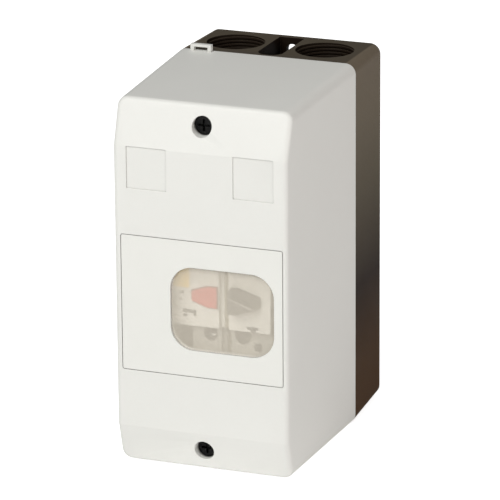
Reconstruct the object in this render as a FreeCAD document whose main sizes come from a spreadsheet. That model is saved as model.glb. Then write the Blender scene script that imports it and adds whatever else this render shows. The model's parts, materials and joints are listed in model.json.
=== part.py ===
import FreeCAD, Part
import math
import os
import re
import Sketcher
from FreeCAD import Placement, Rotation, Vector

# Surface-mounting enclosure with a snap-in front insert and a push-button motor breaker inside.
# Frame: X across the width, Y from the front face (-Y) to the wall (+Y), Z up.
# Origin: middle of the width and depth, at the bottom end face.  Lengths in mm.

SIZES = {
    # enclosure, overall
    "width": 80, "height": 160, "depth": 115, "base_depth": 36.5, "pad_height": 1,
    "cover_wall": 2.5, "front_wall": 3.6, "base_wall": 3, "rear_wall": 3,
    "side_draft": 2.1, "end_draft": 1.26, "base_side_draft": 1.3, "base_end_draft": 0.75,
    "corner_round": 4.5, "front_round": 2.4, "rim_round": 0.8,
    "top_slant_back": 6.5, "top_slant_rise": 20.5, "bottom_slant_back": 5.1, "bottom_slant_rise": 18.2,
    "parting_gap": 0.2, "lip_wall": 1.5, "lip_height": 4, "lip_gap": 0.3,
    "gasket_inset": 0.9, "gasket_wide": 1.2, "gasket_deep": 1.2, "gasket_free": 0.05,
    # cover details
    "label_wide": 17.4, "label_tall": 17.8, "label_x": 23.25, "label_z": 130.8, "label_deep": 0.4,
    "eye_x": 28.4, "eye_wide": 9.3, "eye_tall": 2.8, "eye_thick": 2.2, "eye_bar": 1.1, "eye_leg": 1.6,
    "screw_from_top": 10, "screw_from_bottom": 10.3, "screw_head_bore": 4.3, "screw_head_sink": 8.6,
    "screw_radius": 2, "screw_head_radius": 3.9, "screw_head_tall": 2.6, "screw_bore_gap": 0.35,
    "sleeve_radius": 5.9, "pillar_radius": 5.2, "pillar_height": 12,
    "insert_nut_radius": 3, "insert_nut_length": 8, "screw_grip": 7,
    # front insert, window and membrane
    "panel_wide": 71, "panel_tall": 59, "panel_x": 0.5, "panel_z": 72.5, "panel_thick": 2,
    "panel_gap": 0.25, "panel_round": 1, "ledge": 1.2, "skirt_wall": 1, "skirt_deep": 8,
    "hook_wide": 8, "hook_reach": 0.7, "hook_tall": 1.6,
    "window_x": 9.4, "window_wide": 45.3, "window_tall": 36, "window_round": 10,
    "membrane_thick": 0.8, "membrane_rim": 1.3, "membrane_sink": 1, "membrane_gap": 0.1,
    "retainer_thick": 1.6, "retainer_wide": 1.2,
    # cable entries, mounting pockets and slots
    "entry_radius": 12.5, "entry_pitch": 40, "entry_behind": 17.5, "entry_length": 9, "collar_wall": 2,
    "pocket_wide": 11, "pocket_deep": 14, "pocket_wall": 1.5, "pocket_round": 5,
    "slot_wide": 5.4, "slot_long": 6.9, "slot_edge": 3.6,
    "pad_wide": 14, "pad_tall": 7,
    # rail and rail pillars
    "rail_wide": 35, "rail_high": 7.5, "rail_sheet": 1, "rail_crown": 27, "rail_length": 70,
    "rail_screw_x": 30, "rail_screw_radius": 1.5, "rail_head_radius": 3, "rail_pillar_radius": 5,
    # earth and neutral terminals
    "carrier_x": 26.7, "carrier_wide": 15.6, "carrier_tall": 44, "carrier_deep": 18, "carrier_rail_gap": 0.1,
    "block_wide": 11, "block_tall": 13, "block_deep": 9, "block_z": 10.5, "block_bore": 2.2,
    "block_screw_radius": 1.5, "block_screw_head": 2.8,
    # breaker, overall
    "device_x": 5.1, "device_wide": 45, "device_tall": 93, "device_deep": 76, "nose_behind": 8,
    "nose_tall": 45, "lower_deep": 36.5, "shoulder_deep": 10, "shell": 2, "partition": 1.2, "pole_pitch": 14,
    "dial_line": 10, "dial_drop": 3, "groove_x": 7.1, "groove_wide": 4.2, "groove_deep": 2.2,
    "notch_wide": 9.5,
    # buttons and rocker
    "button_z": 3.3, "button_long": 11.2, "button_half": 4.5, "button_tip": 2.1, "button_taper": 6.8,
    "off_x": 4.4, "on_x": 10.3, "on_long": 12.7, "on_half": 5, "on_taper": 9.6,
    "button_gap": 0.3, "button_proud": 1, "button_travel": 4, "flange_thick": 1.5, "flange_edge": 0.9,
    "stem_radius": 1.8, "rocker_arm": 6.5, "rocker_tip": 1.2, "rocker_hub": 3.2, "rocker_long": 8,
    "pin_radius": 1.5, "pin_gap": 0.05, "follow_gap": 0.3, "contact_travel": 3, "contact_spare": 0.1,
    "rocker_behind": 15.5, "boss_radius": 3.4, "pin_long": 20,
    # contacts
    "strip_wide": 6, "strip_thick": 1.2, "tip_long": 4, "tip_thick": 2, "tip_from": 8, "strip_end": 44,
    "strip_ahead": 22.5, "bridge_half": 13, "bridge_tip": 1, "finger_wide": 8, "finger_tall": 7,
    "cage_gap": 0.2,
    "bar_thick": 4, "bar_tall": 8, "bar_half": 19, "spring_radius": 2, "spring_wire": 0.4,
    "chute_from": 14.2, "chute_long": 12, "chute_gap": 0.7, "chute_deep": 10, "chute_sheet": 0.8,
    "chute_plates": 5, "chute_clear": 1,
    # trip system
    "coil_gap": 1, "coil_long": 14, "coil_drop": 15, "coil_ahead": 10.5, "coil_wall": 0.8, "coil_bore": 2.2,
    "plunger_radius": 2, "plunger_pin": 0.8, "plunger_pin_long": 5,
    "trip_ahead": 14.5, "trip_drop": 2, "trip_radius": 2, "trip_half": 19.8, "trip_arm": 6.5,
    "trip_finger": 9,
    "trip_lever_thick": 1.6, "trip_lever_wide": 3, "shelf_thick": 2,
    "bimetal_thick": 0.8, "bimetal_ahead": 12.1, "bimetal_from": 4, "bimetal_to": 34,
    # breaker terminals
    "clamp_z": 40.5, "clamp_tall": 7, "clamp_half": 5, "clamp_wall": 1.6, "clamp_ahead": 7,
    "clamp_deep": 12, "clamp_screw": 1.75, "clamp_head": 3, "clamp_head_tall": 2.5, "clamp_access": 3.4,
    # dials, test button, rail clip, label
    "dial_x": 5, "dial_z": 13.6, "dial_radius": 2.8, "dial_gap": 0.15, "dial_proud": 0.5,
    "scale_x": 9.3, "scale_z": 13.1, "scale_radius": 3.2, "dial_collar": 1,
    "test_x": 15.9, "test_z": 17.3, "test_side": 2.9,
    "clip_half": 8, "clip_gap": 0.3, "clip_thick": 2.2, "clip_lip": 2.4, "clip_ear": 4, "clip_hook": 2.5,
    "clip_travel": 4, "guide_wall": 2, "hook_thick": 2, "hook_tail": 5, "lip_root": 3,
    "stop_half": 2.5, "stop_rise": 9, "stop_thick": 2, "clip_rest": 4, "clip_window_half": 3.2,
    "tag_wide": 8.4, "tag_tall": 11, "tag_thick": 0.2,
}

# Planes that several pieces share, as expressions of the sheet's sizes.
FRONT = "(0 - depth / 2)"
SPLIT = "(depth / 2 - base_depth)"
BACK = "(depth / 2 - pad_height)"
FLOOR = f"({BACK} - rear_wall)"
COVER_END = f"({SPLIT} - parting_gap)"
SCREW_TOP = "(height - screw_from_top)"
SCREW_BOTTOM = "screw_from_bottom"
PILLAR_END = f"({SPLIT} - pillar_height)"
ENTRY_Y = f"({SPLIT} + entry_behind)"
NOSE = f"({FRONT} + nose_behind)"
RAIL_FACE = f"({NOSE} + device_deep)"
RAIL_BACK = f"({RAIL_FACE} + rail_high)"
JOINT = f"({RAIL_FACE} - lower_deep)"
SHOULDER = f"({JOINT} - shoulder_deep)"
DIAL_FACE = f"({NOSE} + dial_drop)"
ROCKER_Y = f"({NOSE} + rocker_behind)"
BUTTON_Z = "(panel_z + button_z)"
STRIP_Y = f"({RAIL_FACE} - strip_ahead)"

doc = FreeCAD.newDocument("motor_breaker_enclosure")
sizes = doc.addObject("Spreadsheet::Sheet", "sizes")
for row, (alias, size) in enumerate(SIZES.items(), 1):
    sizes.set(f"A{row}", alias)
    sizes.set(f"B{row}", str(size))
    sizes.setAlias(f"B{row}", alias)
doc.recompute()

nodes = []


def ex(text):
    """Expression with every size name pointed at the sheet."""
    return re.sub(r"[a-z]\w*", lambda hit: f"sizes.{hit[0]}" if hit[0] in SIZES else hit[0], str(text))


def value(text):
    return float(sizes.evalExpression(ex(text)))


def bind(item, **paths):
    for path, text in paths.items():
        item.setExpression(path.replace("_", "."), ex(text))
    return item


def keep(item, label):
    """Register a finished sub-part under the name of its node."""
    item.Label = label
    nodes.append(item)
    return item


# ---------------------------------------------------------------- plain solids and booleans

TURNS = {
    "X": Rotation(Vector(0, 0, 1), Vector(1, 0, 0)),
    "Y": Rotation(Vector(0, 0, 1), Vector(0, 1, 0)),
    "Z": Rotation(),
}


def at(item, x, y, z):
    for axis, text in zip("xyz", (x, y, z)):
        item.setExpression(f"Placement.Base.{axis}", ex(text))
    return item


def box(name, low, size):
    """Block from its low corner and its three sizes."""
    item = doc.addObject("Part::Box", name)
    bind(item, Length=size[0], Width=size[1], Height=size[2])
    return at(item, *low)


def rod(name, foot, radius, length, along="Z"):
    """Cylinder from the middle of its foot, running in the positive direction of its axis."""
    item = doc.addObject("Part::Cylinder", name)
    item.Placement = Placement(Vector(), TURNS[along])
    bind(item, Radius=radius, Height=length)
    return at(item, *foot)


def fuse(name, *parts):
    item = doc.addObject("Part::MultiFuse", name)
    item.Shapes = list(parts)
    item.Refine = True
    return item


def cut(name, base, *tools):
    item = doc.addObject("Part::Cut", name)
    item.Base = base
    item.Tool = tools[0] if len(tools) == 1 else fuse(name + "_tools", *tools)
    item.Refine = True
    return item


def group(name, *parts):
    """Separate solids that share one node."""
    item = doc.addObject("Part::Compound", name)
    item.Links = list(parts)
    return item


# ---------------------------------------------------------------- sketched bodies

def new_body(name):
    return doc.addObject("PartDesign::Body", name)


def sketch(body, name, plane, start):
    """Sketch on one of the body's origin planes, moved along the plane's world axis to start."""
    item = body.newObject("Sketcher::SketchObject", name)
    role = plane + "_Plane"
    item.AttachmentSupport = [(face, "") for face in body.Origin.OriginFeatures if face.Role == role]
    item.MapMode = "FlatFace"
    offset = f"0 - ({start})" if plane == "XZ" else start
    item.setExpression("AttachmentOffset.Base.z", ex(offset))
    return item


def hold(item, kind, text, *where):
    """Add one length to a sketch and bind it to the sheet."""
    index = item.addConstraint(Sketcher.Constraint(kind, *where, value(text)))
    item.setExpression(f"Constraints[{index}]", ex(text))


def polygon(*points):
    """Closed outline whose corners are each held to the sketch's origin."""
    def draw(item):
        corners = [Vector(value(across), value(up), 0) for across, up in points]
        first = item.GeometryCount
        for step, corner in enumerate(corners):
            item.addGeometry(Part.LineSegment(corner, corners[(step + 1) % len(corners)]), False)
        for step, (across, up) in enumerate(points):
            following = first + (step + 1) % len(points)
            item.addConstraint(Sketcher.Constraint("Coincident", first + step, 2, following, 1))
            hold(item, "DistanceX", across, -1, 1, first + step, 1)
            hold(item, "DistanceY", up, -1, 1, first + step, 1)
    return draw


def rectangle(left, low, right, high):
    return polygon((left, low), (right, low), (right, high), (left, high))


def round_rectangle(left, low, right, high, radius):
    """Rectangle with four equal tangent corners."""
    def draw(item):
        x0, z0, x1, z1, r = (value(text) for text in (left, low, right, high, radius))
        first = item.GeometryCount
        ends = (((x0 + r, z0), (x1 - r, z0)), ((x1, z0 + r), (x1, z1 - r)),
                ((x1 - r, z1), (x0 + r, z1)), ((x0, z1 - r), (x0, z0 + r)))
        middles = ((x1 - r, z0 + r), (x1 - r, z1 - r), (x0 + r, z1 - r), (x0 + r, z0 + r))
        for side in range(4):
            start, end = ends[side]
            item.addGeometry(Part.LineSegment(Vector(*start, 0), Vector(*end, 0)), False)
            ring = Part.Circle(Vector(*middles[side], 0), Vector(0, 0, 1), r)
            turn = (side - 1) * math.pi / 2
            item.addGeometry(Part.ArcOfCircle(ring, turn, turn + math.pi / 2), False)
        for side in range(4):
            line, arc = first + 2 * side, first + 2 * side + 1
            following = first + (2 * side + 2) % 8
            item.addConstraint(Sketcher.Constraint("Tangent", line, 2, arc, 1))
            item.addConstraint(Sketcher.Constraint("Tangent", arc, 2, following, 1))
            item.addConstraint(Sketcher.Constraint("Horizontal" if side % 2 == 0 else "Vertical", line))
            if side:
                item.addConstraint(Sketcher.Constraint("Equal", first + 1, arc))
        hold(item, "Radius", radius, first + 1)
        hold(item, "DistanceY", low, -1, 1, first, 1)
        hold(item, "DistanceX", right, -1, 1, first + 2, 1)
        hold(item, "DistanceY", high, -1, 1, first + 4, 1)
        hold(item, "DistanceX", left, -1, 1, first + 6, 1)
    return draw


def circle(across, up, radius):
    def draw(item):
        centre = Vector(value(across), value(up), 0)
        index = item.addGeometry(Part.Circle(centre, Vector(0, 0, 1), value(radius)), False)
        hold(item, "Radius", radius, index)
        hold(item, "DistanceX", across, -1, 1, index, 3)
        hold(item, "DistanceY", up, -1, 1, index, 3)
    return draw


def extrude(body, kind, name, plane, start, length, shapes):
    """Pad or Pocket from start along the plane's positive world axis."""
    profile = sketch(body, name + "_sketch", plane, start)
    for draw in shapes:
        draw(profile)
    item = body.newObject(f"PartDesign::{kind}", name)
    item.Profile = profile
    item.Reversed = (plane == "XZ") == (kind == "Pad")
    bind(item, Length=length)
    profile.Visibility = False
    return item


def add(body, name, plane, start, length, *shapes):
    return extrude(body, "Pad", name, plane, start, length, shapes)


def remove(body, name, plane, start, length, *shapes):
    """Pocket that must take material away."""
    doc.recompute()
    before = body.Shape.Volume
    item = extrude(body, "Pocket", name, plane, start, length, shapes)
    doc.recompute()
    if body.Shape.Volume > before - 1e-3:
        raise RuntimeError(f"{item.Name} cut nothing")
    return item


def loft(body, kind, name, near, far):
    """Straight loft between two outlines, each given as (y, outline)."""
    profiles = []
    for end, (y, draw) in zip(("near", "far"), (near, far)):
        profile = sketch(body, f"{name}_{end}", "XZ", y)
        draw(profile)
        profile.Visibility = False
        profiles.append(profile)
    doc.recompute()
    item = body.newObject(f"PartDesign::{kind}", name)
    item.Profile = profiles[0]
    item.Sections = [(profiles[1], [""])]
    item.Ruled = True
    return item


def round_edges(body, name, radius, chosen):
    """Fillet the edges of the body's tip that the test accepts."""
    doc.recompute()
    tip = body.Tip
    picked = [f"Edge{n}" for n, edge in enumerate(tip.Shape.Edges, 1) if chosen(edge.BoundBox)]
    item = body.newObject("PartDesign::Fillet", name)
    item.Base = (tip, picked)
    bind(item, Radius=radius)
    return item


def spans(low, high, first, second, slack=0.02):
    return abs(low - first) < slack and abs(high - second) < slack


# ---------------------------------------------------------------- enclosure: base

def end_rectangle(side, end, radius="corner_round"):
    """Outline of the enclosure, set in from its widest section by side and end."""
    return round_rectangle(f"0 - width / 2 + {side}", end, f"width / 2 - {side}", f"height - {end}", radius)


def base_housing():
    body = new_body("base_housing")
    loft(body, "AdditiveLoft", "base_block", (SPLIT, end_rectangle("0", "0")),
         (BACK, end_rectangle("base_side_draft", "base_end_draft")))
    add(body, "feet", "XZ", BACK, "pad_height", *[
        rectangle(*((f"{side} - pad_wide / 2"), low, f"{side} + pad_wide / 2", f"{low} + pad_tall"))
        for side in ("(0 - width / 2 + base_side_draft + corner_round + pad_wide / 2)",
                     "(width / 2 - base_side_draft - corner_round - pad_wide / 2)")
        for low in ("(base_end_draft + rim_round)", "(height - base_end_draft - rim_round - pad_tall)")])
    inner = end_rectangle("base_wall", "base_wall", "corner_round - 2")
    doc.recompute()
    add(body, "lip", "XZ", f"{SPLIT} - lip_height", "lip_height * 2",
        end_rectangle("(cover_wall + lip_gap)", "(cover_wall + lip_gap)", "corner_round - 2"))
    remove(body, "room", "XZ", f"{SPLIT} - lip_height", f"{FLOOR} - {SPLIT} + lip_height",
           end_rectangle("(base_wall + lip_wall)", "(base_wall + lip_wall)", "corner_round - 3"))
    remove(body, "wide_room", "XZ", f"{SPLIT} + lip_height", f"{FLOOR} - {SPLIT} - lip_height", inner)
    entries = [(side, ENTRY_Y) for side in ("0 - entry_pitch / 2", "entry_pitch / 2")]
    pocket_half = "(pocket_wide / 2)"
    box_half = f"({pocket_half} + pocket_wall)"
    for end, low, mouth in (("bottom", "base_wall / 2", "0 - 1"),
                            ("top", "height - entry_length", "height - entry_length - 1")):
        add(body, f"{end}_collars", "XY", low, "entry_length - base_wall / 2",
            *[circle(x, y, "entry_radius + collar_wall") for x, y in entries])
        floor = "base_wall / 2" if end == "bottom" else "height - pocket_deep - pocket_wall"
        add(body, f"{end}_pocket_box", "XY", floor, "pocket_deep + pocket_wall - base_wall / 2",
            rectangle(f"0 - {box_half}", SPLIT, box_half, f"{FLOOR} + rear_wall / 2"))
        remove(body, f"{end}_entries", "XY", mouth, "entry_length + 2",
               *[circle(x, y, "entry_radius") for x, y in entries])
        start = "0 - 1" if end == "bottom" else "height - pocket_deep"
        remove(body, f"{end}_pocket", "XY", start, "pocket_deep + 1",
               rectangle(f"0 - {pocket_half}", f"{SPLIT} + pocket_wall + pocket_round", pocket_half, FLOOR))
        remove(body, f"{end}_pocket_nose", "XY", start, "pocket_deep + 1",
               round_rectangle(f"0 - {pocket_half}", f"{SPLIT} + pocket_wall", pocket_half,
                               f"{SPLIT} + pocket_wall + pocket_round * 2 + 2", "pocket_round"))
        slot_low = "slot_edge" if end == "bottom" else "height - slot_edge - slot_long"
        remove(body, f"{end}_slot_middle", "XZ", f"{FLOOR} - 0.5", "rear_wall + 1",
               rectangle("0 - slot_wide / 2", f"{slot_low} + slot_wide / 2",
                         "slot_wide / 2", f"{slot_low} + slot_long - slot_wide / 2"))
        for part, z in (("low", f"{slot_low} + slot_wide / 2"),
                        ("high", f"{slot_low} + slot_long - slot_wide / 2")):
            remove(body, f"{end}_slot_{part}", "XZ", f"{FLOOR} - 0.5", "rear_wall + 1",
                   circle("0", z, "slot_wide / 2"))
        screw_z = SCREW_BOTTOM if end == "bottom" else SCREW_TOP
        add(body, f"{end}_pillar", "XZ", PILLAR_END, "pillar_height + pocket_wall / 2",
            circle("0", screw_z, "pillar_radius"))
        remove(body, f"{end}_nut_bore", "XZ", PILLAR_END, "insert_nut_length",
               circle("0", screw_z, "insert_nut_radius"))
        remove(body, f"{end}_screw_bore", "XZ", PILLAR_END, "insert_nut_length + 2",
               circle("0", screw_z, "screw_radius + screw_bore_gap"))
    rail_screws = [circle(side, "panel_z", "rail_pillar_radius")
                   for side in ("0 - rail_screw_x", "rail_screw_x")]
    add(body, "rail_pillars", "XZ", RAIL_BACK, f"{FLOOR} - {RAIL_BACK} + rear_wall / 2", *rail_screws)
    remove(body, "rail_screw_bores", "XZ", RAIL_BACK, f"({FLOOR} - {RAIL_BACK}) * 0.6",
           *[circle(side, "panel_z", "rail_screw_radius") for side in ("0 - rail_screw_x", "rail_screw_x")])
    remove(body, "gasket_groove", "XZ", SPLIT, "gasket_deep",
           end_rectangle("gasket_inset", "gasket_inset"),
           end_rectangle("(gasket_inset + gasket_wide)", "(gasket_inset + gasket_wide)", "corner_round - 1"))
    keep(body, "base_housing")


def boss_inserts():
    tubes = []
    for end, z in (("bottom", SCREW_BOTTOM), ("top", SCREW_TOP)):
        outer = rod(f"{end}_nut_outer", ("0", PILLAR_END, z), "insert_nut_radius", "insert_nut_length", "Y")
        bore = rod(f"{end}_nut_inner", ("0", f"{PILLAR_END} - 1", z), "screw_radius",
                   "insert_nut_length + 2", "Y")
        tubes.append(cut(f"{end}_nut", outer, bore))
    keep(group("boss_inserts", *tubes), "boss_inserts")


def cover_gasket():
    body = new_body("cover_gasket")
    add(body, "gasket_ring", "XZ", f"{COVER_END} + gasket_free",
        "gasket_deep + parting_gap - gasket_free",
        end_rectangle("gasket_inset", "gasket_inset"),
        end_rectangle("(gasket_inset + gasket_wide)", "(gasket_inset + gasket_wide)", "corner_round - 1"))
    keep(body, "cover_gasket")


def rail():
    """Top-hat rail, its crown against the two rail pillars."""
    half, crown = "(rail_wide / 2)", "(rail_crown / 2)"
    inner = f"({crown} - rail_sheet)"
    profile = [(RAIL_FACE, f"0 - {half}"), (f"{RAIL_FACE} + rail_sheet", f"0 - {half}"),
               (f"{RAIL_FACE} + rail_sheet", f"0 - {crown}"), (RAIL_BACK, f"0 - {crown}"),
               (RAIL_BACK, crown), (f"{RAIL_FACE} + rail_sheet", crown),
               (f"{RAIL_FACE} + rail_sheet", half), (RAIL_FACE, half),
               (RAIL_FACE, inner), (f"{RAIL_BACK} - rail_sheet", inner),
               (f"{RAIL_BACK} - rail_sheet", f"0 - {inner}"), (RAIL_FACE, f"0 - {inner}")]
    body = new_body("top_hat_rail")
    add(body, "rail_sheet_metal", "YZ", "0 - rail_length / 2", "rail_length",
        polygon(*[(y, f"panel_z + ({z})") for y, z in profile]))
    remove(body, "rail_holes", "XZ", f"{RAIL_BACK} - rail_sheet - 0.5", "rail_sheet + 1",
           *[circle(side, "panel_z", "rail_screw_radius + pin_gap * 2")
             for side in ("0 - rail_screw_x", "rail_screw_x")])
    keep(body, "top_hat_rail")
    screws = []
    for side, x in (("left", "0 - rail_screw_x"), ("right", "rail_screw_x")):
        head = rod(f"{side}_rail_head", (x, f"{RAIL_BACK} - rail_sheet - 2", "panel_z"),
                   "rail_head_radius", "2", "Y")
        shank = rod(f"{side}_rail_shank", (x, f"{RAIL_BACK} - rail_sheet - 1", "panel_z"),
                    "rail_screw_radius", f"({FLOOR} - {RAIL_BACK}) * 0.5 + rail_sheet + 1", "Y")
        slot = box(f"{side}_rail_slot", (f"{x} - 0.4", f"{RAIL_BACK} - rail_sheet - 3", "panel_z - 4"),
                   ("0.8", "1.9", "8"))
        screws.append(cut(f"{side}_rail_screw", fuse(f"{side}_rail_blank", head, shank), slot))
    keep(group("rail_screws", *screws), "rail_screws")


def earth_and_neutral():
    """Carrier on the rail beside the breaker, with two clamp blocks and their screws."""
    x, low_z = "(0 - carrier_x)", "(panel_z - carrier_tall / 2)"
    front = f"({RAIL_FACE} - carrier_deep)"
    body = box("carrier_block", (f"{x} - carrier_wide / 2", front, low_z),
               ("carrier_wide", "carrier_deep - carrier_rail_gap", "carrier_tall"))
    pockets, blocks, screws = [], {}, []
    for name, side in (("neutral", "+"), ("earth", "-")):
        z = f"(panel_z {side} block_z)"
        pockets.append(box(f"{name}_pocket",
                           (f"{x} - block_wide / 2", f"{front} - 1", f"{z} - block_tall / 2"),
                           ("block_wide", "block_deep + 1", "block_tall")))
        blank = box(f"{name}_blank", (f"{x} - block_wide / 2", front, f"{z} - block_tall / 2"),
                    ("block_wide", "block_deep", "block_tall"))
        wires = [rod(f"{name}_wire_{n}", (f"{x} - block_wide", f"{front} + block_deep * 0.6", f"{z} {shift}"),
                     "block_bore", "block_wide * 2", "X")
                 for n, shift in enumerate(("- block_tall / 4", "+ block_tall / 4"))]
        bores = [rod(f"{name}_bore_{n}", (x, f"{front} - 1", f"{z} {shift}"), "block_screw_radius",
                     "block_deep * 0.6 + 1", "Y")
                 for n, shift in enumerate(("- block_tall / 4", "+ block_tall / 4"))]
        blocks[name] = cut(f"{name}_block", blank, *wires, *bores)
        for n, shift in enumerate(("- block_tall / 4", "+ block_tall / 4")):
            head = rod(f"{name}_head_{n}", (x, f"{front} - 1.6", f"{z} {shift}"),
                       "block_screw_head", "1.6", "Y")
            shank = rod(f"{name}_shank_{n}", (x, f"{front} - 0.8", f"{z} {shift}"), "block_screw_radius",
                        "block_deep * 0.6 - block_bore * 0.5", "Y")
            slot = box(f"{name}_slot_{n}", (f"{x} - 4", f"{front} - 2.6", f"{z} {shift} - 0.4"),
                       ("8", "1.8", "0.8"))
            screws.append(cut(f"{name}_screw_{n}", fuse(f"{name}_screw_blank_{n}", head, shank), slot))
    passage = [box(f"wire_way_{n}", (f"{x} - carrier_wide", f"{front} + block_deep * 0.6 - block_bore",
                                     f"panel_z {side} block_z - block_tall / 2 + 0.8"),
                   ("carrier_wide * 2", "block_bore * 2", "block_tall - 1.6"))
               for n, side in enumerate(("+", "-"))]
    keep(cut("terminal_carrier", body, *pockets, *passage), "terminal_carrier")
    keep(blocks["earth"], "earth_terminal")
    keep(blocks["neutral"], "neutral_terminal")
    keep(group("terminal_screws", *screws), "terminal_screws")


# ---------------------------------------------------------------- enclosure: cover

def slant(end):
    """Wedge in front of one slanted zone, in the Y-Z plane."""
    if end == "top":
        near, far = (FRONT, "height - top_slant_rise"), (f"{FRONT} + top_slant_back", "height - end_draft")
        beyond, run, rise = "height + 5", "top_slant_back", "(top_slant_rise - end_draft)"
    else:
        near, far = (FRONT, "bottom_slant_rise"), (f"{FRONT} + bottom_slant_back", "end_draft")
        beyond, run, rise = "0 - 5", "bottom_slant_back", "(end_draft - bottom_slant_rise)"
    start = (f"{near[0]} - {run} * 0.1", f"{near[1]} - {rise} * 0.1")
    finish = (f"{far[0]} + {run} * 0.2", f"{far[1]} + {rise} * 0.2")
    return polygon(start, finish, (finish[0], beyond), (f"{FRONT} - 5", beyond), (f"{FRONT} - 5", start[1]))


def cover():
    body = new_body("cover")
    half_front = value("width / 2 - side_draft")
    loft(body, "AdditiveLoft", "cover_block", (COVER_END, end_rectangle("0", "0")),
         (FRONT, end_rectangle("side_draft", "end_draft")))
    joint = f"({FRONT} + top_slant_back + front_wall)"
    part = "(top_slant_back + front_wall) / (depth - base_depth)"
    loft(body, "SubtractiveLoft", "cover_room",
         (COVER_END, end_rectangle("cover_wall", "cover_wall", "corner_round - 1.5")),
         (joint, end_rectangle(f"(cover_wall + side_draft * (1 - {part}))",
                               f"(cover_wall + end_draft * (1 - {part}))", "corner_round - 1.5")))
    inner_top, inner_low = "height - cover_wall - end_draft - 0.6", "cover_wall + end_draft + 0.6"
    remove(body, "front_room", "YZ", "0 - width / 2 + side_draft + cover_wall",
           "width - side_draft * 2 - cover_wall * 2",
           polygon((joint, inner_low), (joint, inner_top),
                   (f"{FRONT} + front_wall + top_slant_back * 0.84", inner_top),
                   (f"{FRONT} + front_wall", "height - top_slant_rise"),
                   (f"{FRONT} + front_wall", "bottom_slant_rise"),
                   (f"{FRONT} + front_wall + bottom_slant_back * 0.84", inner_low)))
    for end, z in (("bottom", SCREW_BOTTOM), ("top", SCREW_TOP)):
        add(body, f"{end}_sleeve", "XZ", f"{FRONT} + 1", f"{PILLAR_END} - parting_gap - {FRONT} - 1",
            circle("0", z, "sleeve_radius"))
    for end in ("top", "bottom"):
        remove(body, f"{end}_slant", "YZ", "0 - width", "width * 2", slant(end))
    for end, z in (("bottom", SCREW_BOTTOM), ("top", SCREW_TOP)):
        remove(body, f"{end}_head_bore", "XZ", f"{FRONT} - 1", "screw_head_sink + 1",
               circle("0", z, "screw_head_bore"))
        remove(body, f"{end}_shank_bore", "XZ", FRONT, "depth",
               circle("0", z, "screw_radius + screw_bore_gap"))
    low, high = value("bottom_slant_rise"), value("height - top_slant_rise")

    def front_sides(span):
        flat = spans(span.YMin, span.YMax, value(FRONT), value(FRONT)) and spans(
            span.ZMin, span.ZMax, low, high, 0.3)
        slanted = span.YMax < value(FRONT) + 7 and span.ZLength > 9
        return (flat or slanted) and abs(abs(span.XMin) - half_front) < 0.5 and span.XLength < 0.5

    round_edges(body, "front_edges", "front_round", front_sides)
    left, right = "(panel_x - panel_wide / 2)", "(panel_x + panel_wide / 2)"
    bottom, top = "(panel_z - panel_tall / 2)", "(panel_z + panel_tall / 2)"
    remove(body, "panel_seat", "XZ", f"{FRONT} - 1", "panel_thick + 1.05",
           round_rectangle(left, bottom, right, top, "panel_round"))
    remove(body, "panel_opening", "XZ", f"{FRONT} - 1", "front_wall + 2",
           round_rectangle(f"{left} + ledge", f"{bottom} + ledge", f"{right} - ledge", f"{top} - ledge",
                           "panel_round + 1"))
    remove(body, "label_fields", "XZ", FRONT, "label_deep", *[
        rectangle(f"{x} - label_wide / 2", "label_z - label_tall / 2",
                  f"{x} + label_wide / 2", "label_z + label_tall / 2") for x in ("0 - label_x", "label_x")])
    add(body, "sealing_eye", "XZ", f"{COVER_END} - eye_thick", "eye_thick",
        rectangle("0 - eye_x - eye_wide / 2", "height - cover_wall / 2", "0 - eye_x + eye_wide / 2",
                  "height + eye_tall"))
    remove(body, "sealing_slot", "XZ", f"{COVER_END} - eye_thick - 1", "eye_thick + 2",
           rectangle("0 - eye_x - eye_wide / 2 + eye_leg", "height + 0.05",
                     "0 - eye_x + eye_wide / 2 - eye_leg", "height + eye_tall - eye_bar"))
    keep(body, "cover")


def cover_screws():
    screws = []
    for end, z in (("bottom", SCREW_BOTTOM), ("top", SCREW_TOP)):
        seat = f"({FRONT} + screw_head_sink)"
        head = rod(f"{end}_head", ("0", f"{seat} - screw_head_tall", z), "screw_head_radius",
                   "screw_head_tall - 0.02", "Y")
        shank = rod(f"{end}_shank", ("0", f"{seat} - 1", z), "screw_radius - 0.05",
                    f"{PILLAR_END} + screw_grip - {seat} + 1", "Y")
        across = box(f"{end}_slot_x", ("0 - 2.6", f"{seat} - screw_head_tall - 1", f"{z} - 0.45"),
                     ("5.2", "2.5", "0.9"))
        upright = box(f"{end}_slot_z", ("0 - 0.45", f"{seat} - screw_head_tall - 1", f"{z} - 2.6"),
                      ("0.9", "2.5", "5.2"))
        screws.append(cut(f"{end}_cover_screw", fuse(f"{end}_screw_blank", head, shank), across, upright))
    keep(group("cover_screws", *screws), "cover_screws")


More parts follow.
